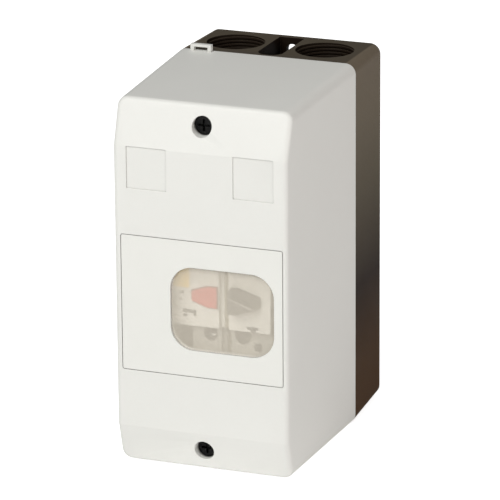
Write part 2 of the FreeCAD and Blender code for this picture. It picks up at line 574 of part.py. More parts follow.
def front_insert():
    """Snap-in panel with the window; its skirt passes the cover's opening and hooks behind the ledge."""
    left, right = "(panel_x - panel_wide / 2 + panel_gap)", "(panel_x + panel_wide / 2 - panel_gap)"
    bottom, top = "(panel_z - panel_tall / 2 + panel_gap)", "(panel_z + panel_tall / 2 - panel_gap)"
    inset = "(ledge + panel_gap)"
    sides = (f"({left} + {inset})", f"({bottom} + {inset})", f"({right} - {inset})", f"({top} - {inset})")
    hollow = (f"{sides[0]} + skirt_wall", f"{sides[1]} + skirt_wall", f"{sides[2]} - skirt_wall",
              f"{sides[3]} - skirt_wall")
    body = new_body("front_insert")
    add(body, "panel_plate", "XZ", FRONT, "panel_thick",
        round_rectangle(left, bottom, right, top, "panel_round - panel_gap"))
    add(body, "panel_skirt", "XZ", f"{FRONT} + panel_thick / 2", "skirt_deep - panel_thick / 2",
        round_rectangle(*sides, "panel_round + 0.6"))
    hook_y = f"({FRONT} + front_wall + panel_gap)"
    add(body, "panel_hooks", "XZ", hook_y, "hook_tall", *[
        rectangle(f"panel_x + ({x}) - hook_wide / 2", f"{sides[1]} - hook_reach",
                  f"panel_x + ({x}) + hook_wide / 2", f"{sides[3]} + hook_reach")
        for x in ("0 - panel_wide / 4", "panel_wide / 4")])
    remove(body, "panel_hollow", "XZ", f"{FRONT} + panel_thick", "skirt_deep",
           round_rectangle(*hollow, "panel_round"))
    edges = ("window_x - window_wide / 2", "panel_z - window_tall / 2", "window_x + window_wide / 2",
             "panel_z + window_tall / 2")
    remove(body, "window", "XZ", f"{FRONT} - 1", "panel_thick + 2", round_rectangle(*edges, "window_round"))
    remove(body, "membrane_seat", "XZ", f"{FRONT} + membrane_sink", "panel_thick",
           round_rectangle(f"{edges[0]} - membrane_rim", f"{edges[1]} - membrane_rim",
                           f"{edges[2]} + membrane_rim", f"{edges[3]} + membrane_rim",
                           "window_round + membrane_rim"))
    keep(body, "front_insert")


def membrane():
    grow = "(membrane_rim - membrane_gap)"
    rim = (f"window_x - window_wide / 2 - {grow}", f"panel_z - window_tall / 2 - {grow}",
           f"window_x + window_wide / 2 + {grow}", f"panel_z + window_tall / 2 + {grow}")
    sheet = new_body("window_membrane")
    add(sheet, "membrane_sheet", "XZ", f"{FRONT} + membrane_sink", "membrane_thick",
        round_rectangle(*rim, f"window_round + {grow}"))
    keep(sheet, "window_membrane")
    ring = new_body("membrane_retainer")
    open_rim = [f"{text} {sign} retainer_wide" for text, sign in zip(rim, "++--")]
    add(ring, "retainer_ring", "XZ", f"{FRONT} + membrane_sink + membrane_thick", "retainer_thick",
        round_rectangle(*rim, f"window_round + {grow}"),
        round_rectangle(*open_rim, f"window_round + {grow} - retainer_wide"))
    keep(ring, "membrane_retainer")


# ---------------------------------------------------------------- breaker: housings

POLES = ("(device_x - pole_pitch)", "device_x", "(device_x + pole_pitch)")
DEVICE_LEFT = "(device_x - device_wide / 2)"
DEVICE_RIGHT = "(device_x + device_wide / 2)"
DEVICE_LOW = "(panel_z - device_tall / 2)"
DEVICE_HIGH = "(panel_z + device_tall / 2)"
NOSE_LOW = "(panel_z - nose_tall / 2)"
NOSE_HIGH = "(panel_z + nose_tall / 2)"
DIAL_TOP = "(panel_z - dial_line)"
TRIP_Y = f"({RAIL_FACE} - trip_ahead)"
TRIP_Z = "(panel_z - trip_drop)"
COIL_Y = f"({RAIL_FACE} - coil_ahead)"
COIL_TOP = "(panel_z - coil_drop)"
CHAMBER = "(pole_pitch - partition)"
COIL_RADIUS = f"({CHAMBER} / 2 - coil_gap)"
CHUTE_WIDE = f"({CHAMBER} - chute_gap * 2)"
CLAMPS = ("(panel_z + clamp_z)", "(panel_z - clamp_z)")
CLIP_TOP = "(panel_z - rail_wide / 2 - clip_gap)"
STOP_LOW = f"({DEVICE_LOW} + stop_rise)"
STOP_HIGH = f"({STOP_LOW} + stop_thick)"


def lower_housing():
    """Rear half of the breaker: three pole chambers behind the joint plane."""
    body = new_body("breaker_lower_housing")
    add(body, "lower_block", "XZ", JOINT, "lower_deep",
        round_rectangle(DEVICE_LEFT, DEVICE_LOW, DEVICE_RIGHT, DEVICE_HIGH, "shell / 2"))
    walls = [f"({DEVICE_LEFT} + shell)"]
    for middle in ("(device_x - pole_pitch / 2)", "(device_x + pole_pitch / 2)"):
        walls += [f"({middle} - partition / 2)", f"({middle} + partition / 2)"]
    walls.append(f"({DEVICE_RIGHT} - shell)")
    remove(body, "pole_chambers", "XZ", JOINT, "lower_deep - shell", *[
        rectangle(walls[n], f"{DEVICE_LOW} + shell", walls[n + 1], f"{DEVICE_HIGH} - shell")
        for n in (0, 2, 4)])
    add(body, "coil_shelf", "XY", f"{COIL_TOP} - coil_long - shelf_thick", "shelf_thick",
        rectangle(f"{DEVICE_LEFT} + shell / 2", f"{STRIP_Y} + strip_thick + 1",
                  f"{DEVICE_RIGHT} - shell / 2", f"{RAIL_FACE} - shell / 2"))
    remove(body, "trip_bearings", "YZ", "device_x - trip_half - pin_gap * 2", "(trip_half + pin_gap * 2) * 2",
           circle(TRIP_Y, TRIP_Z, "trip_radius + pin_gap"))
    remove(body, "wire_windows", "XY", f"{DEVICE_LOW} - 1", "device_tall + 2", *[
        rectangle(f"{x} - clamp_half + clamp_wall", f"{STRIP_Y} - 4.5", f"{x} + clamp_half - clamp_wall",
                  f"{STRIP_Y} - 0.2") for x in POLES])
    edge = "(panel_z + rail_wide / 2 + clip_gap)"
    tip = "(panel_z + rail_wide / 2 - clip_hook)"
    root = f"({RAIL_FACE} - shell / 2)"
    behind = f"({RAIL_FACE} + rail_sheet + clip_gap)"
    profile = polygon((root, edge), (root, f"{edge} + hook_tail"),
                      (f"{behind} + hook_thick", f"{edge} + hook_tail"),
                      (f"{behind} + hook_thick", tip), (behind, tip), (behind, edge))
    add(body, "upper_hook", "YZ", "device_x - clip_half", "clip_half * 2", profile)
    run = "(clip_half + clip_gap)"
    track = f"({RAIL_FACE} + clip_gap * 2 + clip_thick)"
    for side, sign in (("left", "-"), ("right", "+")):
        inner = f"device_x {sign} {run}"
        outer = f"device_x {sign} ({run} + guide_wall)"
        lip = f"device_x {sign} ({run} - guide_wall + clip_gap)"
        add(body, f"{side}_guide", "XY", f"{DEVICE_LOW} + shell",
            f"{CLIP_TOP} - lip_root - clip_gap - clip_travel - {DEVICE_LOW} - shell",
            polygon((inner, root), (outer, root), (outer, f"{track} + guide_wall"),
                    (lip, f"{track} + guide_wall"), (lip, track), (inner, track)))
    add(body, "spring_stop", "XZ", root, "shell / 2 + clip_gap + clip_thick",
        rectangle("device_x - stop_half", STOP_LOW, "device_x + stop_half", STOP_HIGH))
    keep(body, "breaker_lower_housing")


def arrow(x, z, length, half, tip, taper, sign, grow="0"):
    """Arrow-shaped outline that points to the side named by sign, grown all round."""
    return polygon((f"{x} {sign} (0 - {grow})", f"{z} - {half} - {grow}"),
                   (f"{x} {sign} ({length} - {taper})", f"{z} - {half} - {grow}"),
                   (f"{x} {sign} ({length} + {grow})", f"{z} - {tip} - {grow} * 0.7"),
                   (f"{x} {sign} ({length} + {grow})", f"{z} + {tip} + {grow} * 0.7"),
                   (f"{x} {sign} ({length} - {taper})", f"{z} + {half} + {grow}"),
                   (f"{x} {sign} (0 - {grow})", f"{z} + {half} + {grow}"))


BUTTONS = {
    "off": ("off_x", BUTTON_Z, "button_long", "button_half", "button_tip", "button_taper", "-"),
    "on": ("on_x", BUTTON_Z, "on_long", "on_half", "button_tip", "on_taper", "+"),
}
DIALS = {
    "overload_dial": ("(device_x - dial_x)", "(panel_z - dial_z)", "dial_radius"),
    "magnetic_dial": ("(device_x + scale_x)", "(panel_z - scale_z)", "scale_radius"),
}
TEST_X = "(device_x + test_x)"
TEST_Z = "(panel_z - test_z)"


def upper_housing():
    """Front half of the breaker: shoulders over the terminals and the nose with the controls."""
    body = new_body("breaker_upper_housing")
    add(body, "shoulders", "XZ", SHOULDER, "shoulder_deep",
        round_rectangle(DEVICE_LEFT, DEVICE_LOW, DEVICE_RIGHT, DEVICE_HIGH, "shell / 2"))
    add(body, "nose", "XZ", NOSE, f"{SHOULDER} - {NOSE} + 1",
        rectangle(DEVICE_LEFT, DIAL_TOP, DEVICE_RIGHT, NOSE_HIGH))
    add(body, "dial_step", "XZ", DIAL_FACE, f"{SHOULDER} - {DIAL_FACE} + 1",
        rectangle(f"{DEVICE_LEFT} + notch_wide", NOSE_LOW, DEVICE_RIGHT, f"{DIAL_TOP} + 1"))
    remove(body, "shoulder_room", "XZ", f"{SHOULDER} + shell", "shoulder_deep",
           rectangle(f"{DEVICE_LEFT} + shell", f"{DEVICE_LOW} + shell", f"{DEVICE_RIGHT} - shell",
                     f"{DEVICE_HIGH} - shell"))
    remove(body, "nose_room", "XZ", f"{NOSE} + groove_deep + shell", f"{SHOULDER} - {NOSE}",
           rectangle(f"{DEVICE_LEFT} + shell", f"{DIAL_TOP} + shell", f"{DEVICE_RIGHT} - shell",
                     f"{NOSE_HIGH} - shell"))
    remove(body, "dial_room", "XZ", f"{DIAL_FACE} + groove_deep + shell / 2", f"{SHOULDER} - {DIAL_FACE}",
           rectangle(f"{DEVICE_LEFT} + notch_wide + shell", f"{NOSE_LOW} + shell",
                     f"{DEVICE_RIGHT} - shell", f"{DIAL_TOP} + shell + 1"))
    remove(body, "nose_groove", "XZ", NOSE, "groove_deep",
           rectangle("groove_x - groove_wide / 2", DIAL_TOP, "groove_x + groove_wide / 2", NOSE_HIGH))
    remove(body, "dial_groove", "XZ", DIAL_FACE, "groove_deep",
           rectangle("groove_x - groove_wide / 2", NOSE_LOW, "groove_x + groove_wide / 2", DIAL_TOP))
    for name, shape in BUTTONS.items():
        remove(body, f"{name}_opening", "XZ", f"{NOSE} - 1", "groove_deep + shell + 2",
               arrow(*shape, "button_gap"))
    for name, (x, z, radius) in DIALS.items():
        remove(body, f"{name}_hole", "XZ", f"{DIAL_FACE} - 1", "groove_deep + shell + 2",
               circle(x, z, f"{radius} + dial_gap"))
    half = "(test_side / 2 + dial_gap)"
    remove(body, "test_hole", "XZ", f"{DIAL_FACE} - 1", "groove_deep + shell + 2",
           rectangle(f"{TEST_X} - {half}", f"{TEST_Z} - {half}", f"{TEST_X} + {half}", f"{TEST_Z} + {half}"))
    remove(body, "screw_access", "XZ", f"{SHOULDER} - 1", "shell + 2",
           *[circle(x, z, "clamp_access") for x in POLES for z in CLAMPS])
    for end, z in (("low", f"{BUTTON_Z} - pin_long / 2"), ("high", f"{BUTTON_Z} + pin_long / 2 - 3")):
        add(body, f"{end}_pin_boss", "XY", z, "3",
            rectangle("groove_x - boss_radius", f"{NOSE} + groove_deep", "groove_x + boss_radius",
                      f"{ROCKER_Y} + boss_radius"))
        remove(body, f"{end}_pin_bore", "XY", z, "3", circle("groove_x", ROCKER_Y, "pin_radius"))
    keep(body, "breaker_upper_housing")


# ---------------------------------------------------------------- breaker: controls

def buttons():
    """Rest state is off: the red button is in, the black one is out."""
    stems = {"off": ("groove_x - rocker_arm", "0"), "on": ("groove_x + rocker_arm", "button_travel")}
    behind = f"({NOSE} + groove_deep + shell)"
    for name, shape in BUTTONS.items():
        stem_x, out = stems[name]
        flange = f"({behind} + button_gap + button_travel - {out})"
        body = new_body(f"{name}_button")
        add(body, f"{name}_cap", "XZ", f"{NOSE} - button_proud - {out}",
            f"{flange} - {NOSE} + button_proud + {out} + 0.5", arrow(*shape))
        add(body, f"{name}_flange", "XZ", flange, "flange_thick", arrow(*shape, "flange_edge"))
        stem_end = f"({ROCKER_Y} + button_travel / 2 - {out} - rocker_tip - follow_gap)"
        add(body, f"{name}_stem", "XZ", f"{flange} + flange_thick / 2",
            f"{stem_end} - {flange} - flange_thick / 2", circle(stem_x, BUTTON_Z, "stem_radius"))
        keep(body, f"{name}_button")


def rocker():
    """Lever that swaps the two buttons; tilted by half its swing at rest."""
    low = f"({BUTTON_Z} - rocker_long / 2)"
    hub = rod("rocker_hub_rod", ("groove_x", ROCKER_Y, low), "rocker_hub", "rocker_long")
    shift = "(button_travel / 2)"
    reach = "sqrt(rocker_arm ^ 2 - (button_travel / 2) ^ 2)"
    places = {"left": (f"groove_x - {reach}", f"{ROCKER_Y} + {shift}", low),
              "right": (f"groove_x + {reach}", f"{ROCKER_Y} - {shift}", low)}
    tips = [rod(f"{side}_rocker_tip", place, "rocker_tip", "rocker_long") for side, place in places.items()]
    web = doc.addObject("Part::Box", "rocker_web")
    bind(web, Length="rocker_arm * 2", Width="rocker_tip * 1.6", Height="rocker_long")
    turn = "asin(button_travel / 2 / rocker_arm)"
    web.Placement = Placement(Vector(), Rotation(Vector(0, 0, -1), 10))
    web.setExpression("Placement.Rotation.Angle", ex(turn))
    at(web, f"groove_x - rocker_arm * cos({turn}) - rocker_tip * 0.8 * sin({turn})",
       f"{ROCKER_Y} + rocker_arm * sin({turn}) - rocker_tip * 0.8 * cos({turn})", low)
    bore = rod("rocker_bore", ("groove_x", ROCKER_Y, f"{low} - 1"), "pin_radius + pin_gap", "rocker_long + 2")
    keep(cut("rocker_lever", fuse("rocker_blank", hub, web, *tips), bore), "rocker_lever")
    keep(rod("rocker_pin", ("groove_x", ROCKER_Y, f"{BUTTON_Z} - pin_long / 2"), "pin_radius", "pin_long"),
         "rocker_pin")


def dials_and_test_button():
    behind = f"({DIAL_FACE} + groove_deep + shell / 2 + dial_gap)"
    for name, (x, z, radius) in DIALS.items():
        disc = rod(f"{name}_disc", (x, f"{DIAL_FACE} - dial_proud", z), radius,
                   f"{behind} + 1.5 - {DIAL_FACE} + dial_proud", "Y")
        collar = rod(f"{name}_collar", (x, behind, z), f"{radius} + dial_collar", "1.5", "Y")
        slot = box(f"{name}_slot", (f"{x} - {radius} * 0.75", f"{DIAL_FACE} - dial_proud - 1", f"{z} - 0.45"),
                   (f"{radius} * 1.5", "2", "0.9"))
        keep(cut(name, fuse(f"{name}_blank", disc, collar), slot), name)
    stem = box("test_stem",
               (f"{TEST_X} - test_side / 2", f"{DIAL_FACE} - dial_proud", f"{TEST_Z} - test_side / 2"),
               ("test_side", f"{behind} - {DIAL_FACE} + 3", "test_side"))
    side = "(test_side + dial_collar)"
    foot = box("test_foot", (f"{TEST_X} - {side} / 2", behind, f"{TEST_Z} - {side} / 2"), (side, "1.5", side))
    keep(fuse("test_button", stem, foot), "test_button")


# ---------------------------------------------------------------- breaker: contacts

BRIDGE_Y = f"({STRIP_Y} - tip_thick - contact_travel - contact_spare - bridge_tip - strip_thick)"


def contact_carrier():
    """Moulded comb across the poles; a post takes the push of the rocker."""
    bar_y = f"({SHOULDER} + shell + 1)"
    bar = box("carrier_bar", ("device_x - bar_half", bar_y, "panel_z - bar_tall / 2"),
              ("bar_half * 2", "bar_thick", "bar_tall"))
    fingers, cages = [], []
    for n, x in enumerate(POLES, 1):
        fingers.append(box(f"finger_{n}", (f"{x} - finger_wide / 2", bar_y, "panel_z - finger_tall / 2"),
                           ("finger_wide", f"{BRIDGE_Y} + strip_thick + 2.2 - {bar_y}", "finger_tall")))
        cages.append(box(f"cage_{n}", (f"{x} - strip_wide / 2 - cage_gap", f"{bar_y} + bar_thick",
                                       "panel_z - finger_tall"),
                         ("strip_wide + cage_gap * 2", f"{BRIDGE_Y} + strip_thick - {bar_y} - bar_thick",
                          "finger_tall * 2")))
    post_end = f"({ROCKER_Y} - button_travel / 2 + rocker_tip + follow_gap + button_travel - contact_travel)"
    post = rod("carrier_post", ("groove_x + rocker_arm", post_end, BUTTON_Z), "stem_radius",
               f"{bar_y} + 1 - {post_end}", "Y")
    keep(cut("contact_carrier", fuse("carrier_blank", bar, post, *fingers), *cages), "contact_carrier")


def contact_parts():
    for n, x in enumerate(POLES, 1):
        low_x = f"{x} - strip_wide / 2"
        bar = box(f"bridge_bar_{n}", (low_x, BRIDGE_Y, "panel_z - bridge_half"),
                  ("strip_wide", "strip_thick", "bridge_half * 2"))
        tips = [box(f"bridge_tip_{n}_{side}", (f"{x} - tip_long / 2", f"{BRIDGE_Y} + strip_thick", z),
                    ("tip_long", "bridge_tip", "tip_long"))
                for side, z in (("high", "panel_z + tip_from"), ("low", "panel_z - tip_from - tip_long"))]
        keep(fuse(f"moving_bridge_{n}", bar, *tips), f"moving_bridge_{n}")
        for side, strip_z, tip_z in (
                ("line", "panel_z + tip_from", "panel_z + tip_from"),
                ("load", "panel_z - strip_end", "panel_z - tip_from - tip_long")):
            strip = box(f"{side}_strip_{n}", (low_x, STRIP_Y, strip_z), ("strip_wide", "strip_thick",
                                                                         "strip_end - tip_from"))
            tip = box(f"{side}_tip_{n}", (f"{x} - tip_long / 2", f"{STRIP_Y} - tip_thick", tip_z),
                      ("tip_long", "tip_thick", "tip_long"))
            keep(fuse(f"fixed_contact_{side}_{n}", strip, tip), f"fixed_contact_{side}_{n}")


def contact_springs():
    springs = []
    bar_y = f"({SHOULDER} + shell + 1 + bar_thick)"
    for n, x in enumerate(POLES, 1):
        springs.append(coil_spring(f"contact_spring_{n}", (x, f"{bar_y} + spring_wire", "panel_z"),
                                   "spring_radius", f"{BRIDGE_Y} - {bar_y} - spring_wire * 2", "Y"))
    keep(group("contact_springs", *springs), "contact_springs")


def coil_spring(name, foot, radius, length, along):
    """Sleeve that stands for a coil spring: as long and as thick as its winding."""
    outer = rod(f"{name}_outer", foot, f"{radius} + spring_wire / 2", length, along)
    inner = rod(f"{name}_inner", foot, f"{radius} - spring_wire / 2", length, along)
    return cut(name, outer, inner)


def arc_chutes():
    """Steel splitter plates between two fibre cheeks, one stack outside each contact pair."""
    for n, x in enumerate(POLES, 1):
        for side, low in (("line", "panel_z + chute_from"), ("load", "panel_z - chute_from - chute_long")):
            left = f"({x} - {CHUTE_WIDE} / 2)"
            front = f"({STRIP_Y} - chute_clear - chute_deep)"
            cheek = ("chute_sheet", "chute_deep", "chute_long")
            plate = (CHUTE_WIDE, "chute_deep", "chute_sheet")
            step = "(chute_long - chute_sheet) / (chute_plates - 1)"
            cheeks = [box(f"{side}_cheek_{n}_{k}", (start, front, low), cheek)
                      for k, start in enumerate((left, f"{left} + {CHUTE_WIDE} - chute_sheet"))]
            plates = [box(f"{side}_plate_{n}_{k}", (left, front, f"{low} + {step} * {k}"), plate)
                      for k in range(int(SIZES["chute_plates"]))]
            keep(fuse(f"arc_chute_{side}_{n}", *cheeks, *plates), f"arc_chute_{side}_{n}")


# ---------------------------------------------------------------- breaker: trip system

def trip_parts():
    for n, x in enumerate(POLES, 1):
        low = f"({COIL_TOP} - coil_long)"
        coil = new_body(f"trip_coil_{n}")
        add(coil, f"coil_foot_{n}", "XY", low, "coil_wall", circle(x, COIL_Y, COIL_RADIUS))
        add(coil, f"coil_winding_{n}", "XY", f"{low} + coil_wall / 2", "coil_long - coil_wall",
            circle(x, COIL_Y, f"{COIL_RADIUS} - coil_wall"))
        add(coil, f"coil_head_{n}", "XY", f"{COIL_TOP} - coil_wall", "coil_wall",
            circle(x, COIL_Y, COIL_RADIUS))
        remove(coil, f"coil_bore_{n}", "XY", f"{low} - 1", "coil_long + 2", circle(x, COIL_Y, "coil_bore"))
        keep(coil, f"trip_coil_{n}")
        pin_top = f"({TRIP_Z} - trip_lever_thick / 2 - follow_gap)"
        core = rod(f"plunger_core_{n}", (x, COIL_Y, f"{low} + 2"), "plunger_radius",
                   f"{pin_top} - plunger_pin_long - {low} - 2")
        pin = rod(f"plunger_pin_{n}", (x, COIL_Y, f"{pin_top} - plunger_pin_long - 1"), "plunger_pin",
                  "plunger_pin_long + 1")
        keep(fuse(f"trip_plunger_{n}", core, pin), f"trip_plunger_{n}")
        strip = f"({STRIP_Y} + strip_thick)"
        blade_y = f"({RAIL_FACE} - bimetal_ahead)"
        blade = box(f"bimetal_blade_{n}", (f"{x} - 2.5", blade_y, "panel_z + bimetal_from"),
                    ("5", "bimetal_thick", "bimetal_to - bimetal_from + 1"))
        foot = box(f"bimetal_foot_{n}", (f"{x} - 2.5", strip, "panel_z + bimetal_to"),
                   ("5", f"{blade_y} + bimetal_thick - {strip}", "1.2"))
        keep(fuse(f"bimetal_{n}", blade, foot), f"bimetal_{n}")
    shaft = rod("trip_shaft", ("device_x - trip_half", TRIP_Y, TRIP_Z), "trip_radius", "trip_half * 2", "X")
    levers = []
    for n, x in enumerate(POLES, 1):
        left = f"{x} - trip_lever_wide / 2"
        levers.append(box(f"trip_lever_{n}", (left, TRIP_Y, f"{TRIP_Z} - trip_lever_thick / 2"),
                          ("trip_lever_wide", "trip_arm", "trip_lever_thick")))
        levers.append(box(f"trip_finger_{n}", (left, f"{TRIP_Y} - trip_lever_thick / 2", TRIP_Z),
                          ("trip_lever_wide", "trip_lever_thick", "trip_finger")))
    keep(fuse("trip_bar", shaft, *levers), "trip_bar")


# ---------------------------------------------------------------- breaker: terminals, clip, label

def breaker_terminals():
    front = f"({STRIP_Y} - clamp_ahead)"
    sets = {"line_clamps": CLAMPS[0], "load_clamps": CLAMPS[1]}
    screws = []
    for name, z in sets.items():
        cages = []
        for n, x in enumerate(POLES, 1):
            blank = box(f"{name}_blank_{n}", (f"{x} - clamp_half", front, f"{z} - clamp_tall / 2"),
                        ("clamp_half * 2", "clamp_deep", "clamp_tall"))
            throat = box(f"{name}_throat_{n}",
                         (f"{x} - clamp_half + clamp_wall", f"{front} + clamp_wall", f"{z} - clamp_tall"),
                         ("clamp_half * 2 - clamp_wall * 2", "clamp_deep - clamp_wall * 2", "clamp_tall * 2"))
            bore = rod(f"{name}_bore_{n}", (x, f"{front} - 1", z), "clamp_screw + pin_gap", "clamp_wall + 2", "Y")
            cages.append(cut(f"{name}_{n}", blank, throat, bore))
            head = rod(f"{name}_head_{n}", (x, f"{front} - clamp_head_tall - 0.2", z), "clamp_head",
                       "clamp_head_tall", "Y")
            shank = rod(f"{name}_shank_{n}", (x, f"{front} - 1", z), "clamp_screw",
                        "clamp_ahead + 1 - 0.2", "Y")
            slot = box(f"{name}_slot_{n}", (f"{x} - 4", f"{front} - clamp_head_tall - 1.2", f"{z} - 0.4"),
                       ("8", "2.2", "0.8"))
            screws.append(cut(f"{name}_screw_{n}", fuse(f"{name}_screw_blank_{n}", head, shank), slot))
        keep(group(name, *cages), name)
    keep(group("clamp_screws", *screws), "clamp_screws")


def rail_clip():
    """Sliding foot that hooks behind the rail's lower flange, with its spring."""
    face = f"({RAIL_FACE} + clip_gap)"
    low = f"({DEVICE_LOW} - clip_ear)"
    plate = box("clip_plate", ("device_x - clip_half", face, low),
                ("clip_half * 2", "clip_thick", f"{CLIP_TOP} - {low}"))
    lip_y = f"({RAIL_FACE} + rail_sheet + clip_gap)"
    lip = box("clip_lip", ("device_x - clip_half", lip_y, f"{CLIP_TOP} - lip_root"),
              ("clip_half * 2", "clip_lip", "clip_hook + clip_gap + lip_root"))
    window_low = f"({DEVICE_LOW} + clip_rest)"
    window = box("clip_window", ("device_x - clip_window_half", f"{face} - 1", window_low),
                 ("clip_window_half * 2", "clip_thick + clip_lip + 4", f"{CLIP_TOP} - clip_rest - {window_low}"))
    ear = box("clip_slot", ("device_x - 3", f"{face} - 1", f"{low} + 1.2"), ("6", "clip_thick + 2", "1.5"))
    keep(cut("rail_clip", fuse("clip_blank", plate, lip), window, ear), "rail_clip")
    start = f"({STOP_HIGH} + spring_wire)"
    keep(coil_spring("rail_clip_spring", ("device_x", f"{face} + clip_thick / 2", start),
                     "clip_thick / 2", f"{CLIP_TOP} - clip_rest - spring_wire - {start}", "Z"), "rail_clip_spring")


def adjustment_tag():
    keep(box("adjustment_tag", (f"{DEVICE_LEFT} + 1", f"{NOSE} - tag_thick", f"{NOSE_HIGH} - tag_tall - 5"),
             ("tag_wide", "tag_thick", "tag_tall")), "adjustment_tag")


base_housing()
boss_inserts()
cover_gasket()
rail()
earth_and_neutral()
cover()
cover_screws()
front_insert()
membrane()
lower_housing()
upper_housing()
buttons()
rocker()
dials_and_test_button()
contact_carrier()
contact_parts()
contact_springs()
arc_chutes()
trip_parts()
breaker_terminals()
rail_clip()
adjustment_tag()

doc.recompute()
for item in doc.Objects:
    if "Invalid" in item.State or "Error" in item.State:
        raise RuntimeError(f"{item.Name}: {item.State}")
for item in nodes:
    if item.Shape.isNull() or not item.Shape.isValid():
        raise RuntimeError(f"{item.Label} has no valid shape")
os.makedirs("parts", exist_ok=True)
for item in nodes:
    item.Shape.exportStep(f"parts/{item.Label}.step")
print(f"{len(nodes)} sub-parts written")
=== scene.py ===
import json
from math import cos, pi, radians, sin

import bmesh
import bpy
from mathutils import Matrix, Vector


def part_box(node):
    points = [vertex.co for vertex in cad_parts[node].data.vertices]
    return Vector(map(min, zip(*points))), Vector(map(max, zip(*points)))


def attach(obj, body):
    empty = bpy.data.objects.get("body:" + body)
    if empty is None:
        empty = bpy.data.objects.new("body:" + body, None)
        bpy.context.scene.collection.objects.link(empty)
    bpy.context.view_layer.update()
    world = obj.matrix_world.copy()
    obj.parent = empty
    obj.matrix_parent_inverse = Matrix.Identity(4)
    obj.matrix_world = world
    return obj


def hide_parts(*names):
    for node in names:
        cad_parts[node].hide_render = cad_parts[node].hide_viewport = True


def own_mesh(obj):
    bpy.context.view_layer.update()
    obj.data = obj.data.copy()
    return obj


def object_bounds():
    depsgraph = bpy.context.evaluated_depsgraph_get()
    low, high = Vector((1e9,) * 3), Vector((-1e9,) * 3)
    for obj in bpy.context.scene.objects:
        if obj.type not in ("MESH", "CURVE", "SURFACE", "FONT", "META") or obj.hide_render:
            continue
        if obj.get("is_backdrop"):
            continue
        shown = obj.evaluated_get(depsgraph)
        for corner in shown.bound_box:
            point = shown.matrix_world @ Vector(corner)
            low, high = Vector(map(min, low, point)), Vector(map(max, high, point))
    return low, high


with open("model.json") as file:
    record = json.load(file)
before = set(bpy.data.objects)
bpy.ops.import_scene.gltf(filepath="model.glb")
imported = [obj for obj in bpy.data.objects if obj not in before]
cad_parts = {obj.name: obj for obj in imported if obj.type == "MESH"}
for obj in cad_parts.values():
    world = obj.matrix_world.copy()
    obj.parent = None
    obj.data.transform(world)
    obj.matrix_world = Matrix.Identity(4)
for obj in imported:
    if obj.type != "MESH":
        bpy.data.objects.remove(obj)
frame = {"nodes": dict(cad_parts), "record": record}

cad_low, cad_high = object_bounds()
scene = bpy.context.scene
MM = 0.001

# ---------------------------------------------------------------- camera and studio
# A long lens from the front, a little to the right and above, as for a catalogue picture.
# One broad soft light stands at the upper front left and a weaker, warmer one at the right.
# A dim white surround fills the shadows, and a wide floor lies just under the object.

aim = Vector((0, -0.5 * MM, 80 * MM))
azimuth, elevation, roll = radians(20.655), radians(18.395), radians(-0.423)
distance, slide_right, slide_up = 1769.305 * MM, -0.31 * MM, -0.721 * MM
back = Vector((sin(azimuth) * cos(elevation), -cos(azimuth) * cos(elevation), sin(elevation)))
level = Vector((cos(azimuth), sin(azimuth), 0))
steep = back.cross(level)
across = level * cos(roll) + steep * sin(roll)
upward = steep * cos(roll) - level * sin(roll)

camera = bpy.data.objects.new("camera", bpy.data.cameras.new("camera"))
camera.data.sensor_width = 36
camera.data.lens = 302.48
camera.data.clip_start = 0.05
camera.data.clip_end = 60
camera.matrix_world = Matrix((
    (across.x, upward.x, back.x, 0), (across.y, upward.y, back.y, 0),
    (across.z, upward.z, back.z, 0), (0, 0, 0, 1)))
camera.location = aim + back * distance - across * slide_right - upward * slide_up
scene.collection.objects.link(camera)
scene.camera = camera
scene.view_settings.view_transform = "Standard"

world = bpy.data.worlds.new("bright surround")
world.use_nodes = True
surround = world.node_tree.nodes["Background"]
surround.inputs["Color"].default_value = (1, 1, 1, 1)
surround.inputs["Strength"].default_value = 0.14
scene.world = world


def soft_light(name, place, power, width, tint):
    """Square area light that faces the object."""
    lamp = bpy.data.lights.new(name, "AREA")
    lamp.energy = power
    lamp.size = width
    lamp.color = tint
    holder = bpy.data.objects.new(name, lamp)
    holder.location = place
    holder.rotation_euler = (aim - Vector(place)).to_track_quat("-Z", "Y").to_euler()
    scene.collection.objects.link(holder)


soft_light("key light", (-0.45, -1.7, 1.75), 47, 1.8, (1, 1, 0.985))
soft_light("warm side light", (2.2, -0.5, 0.6), 18, 1.6, (1, 0.93, 0.90))

floor_mesh = bpy.data.meshes.new("floor")
floor_half, floor_level = 30, cad_low.z - 0.2 * MM
floor_mesh.from_pydata([(-floor_half, -floor_half, floor_level), (floor_half, -floor_half, floor_level),
                        (floor_half, floor_half, floor_level), (-floor_half, floor_half, floor_level)],
                       [], [(0, 1, 2, 3)])
floor = bpy.data.objects.new("floor", floor_mesh)
scene.collection.objects.link(floor)
floor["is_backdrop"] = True

# ---------------------------------------------------------------- cover
# Deep injection-moulded shell in light grey polycarbonate with a fine spark-eroded grain.
# It closes over the base, and two long screws hold it through its sleeves.


def put(tree, kind, values=None, **properties):
    """New node with its properties set, and each input given a value or a link."""
    made = tree.nodes.new(kind)
    for name, setting in properties.items():
        setattr(made, name, setting)
    for name, value in (values or {}).items():
        if isinstance(value, bpy.types.NodeSocket):
            tree.links.new(value, made.inputs[name])
        else:
            made.inputs[name].default_value = value
    return made


def new_tree(name, kind, inputs, outputs):
    """Node group with named sockets; gives the tree, its inputs and its output node."""
    tree = bpy.data.node_groups.new(name, kind)
    for socket_name, socket_kind, default in inputs:
        made = tree.interface.new_socket(name=socket_name, in_out="INPUT", socket_type=socket_kind)
        if default is not None:
            made.default_value = default
    for socket_name, socket_kind in outputs:
        tree.interface.new_socket(name=socket_name, in_out="OUTPUT", socket_type=socket_kind)
    return tree, tree.nodes.new("NodeGroupInput").outputs, tree.nodes.new("NodeGroupOutput")


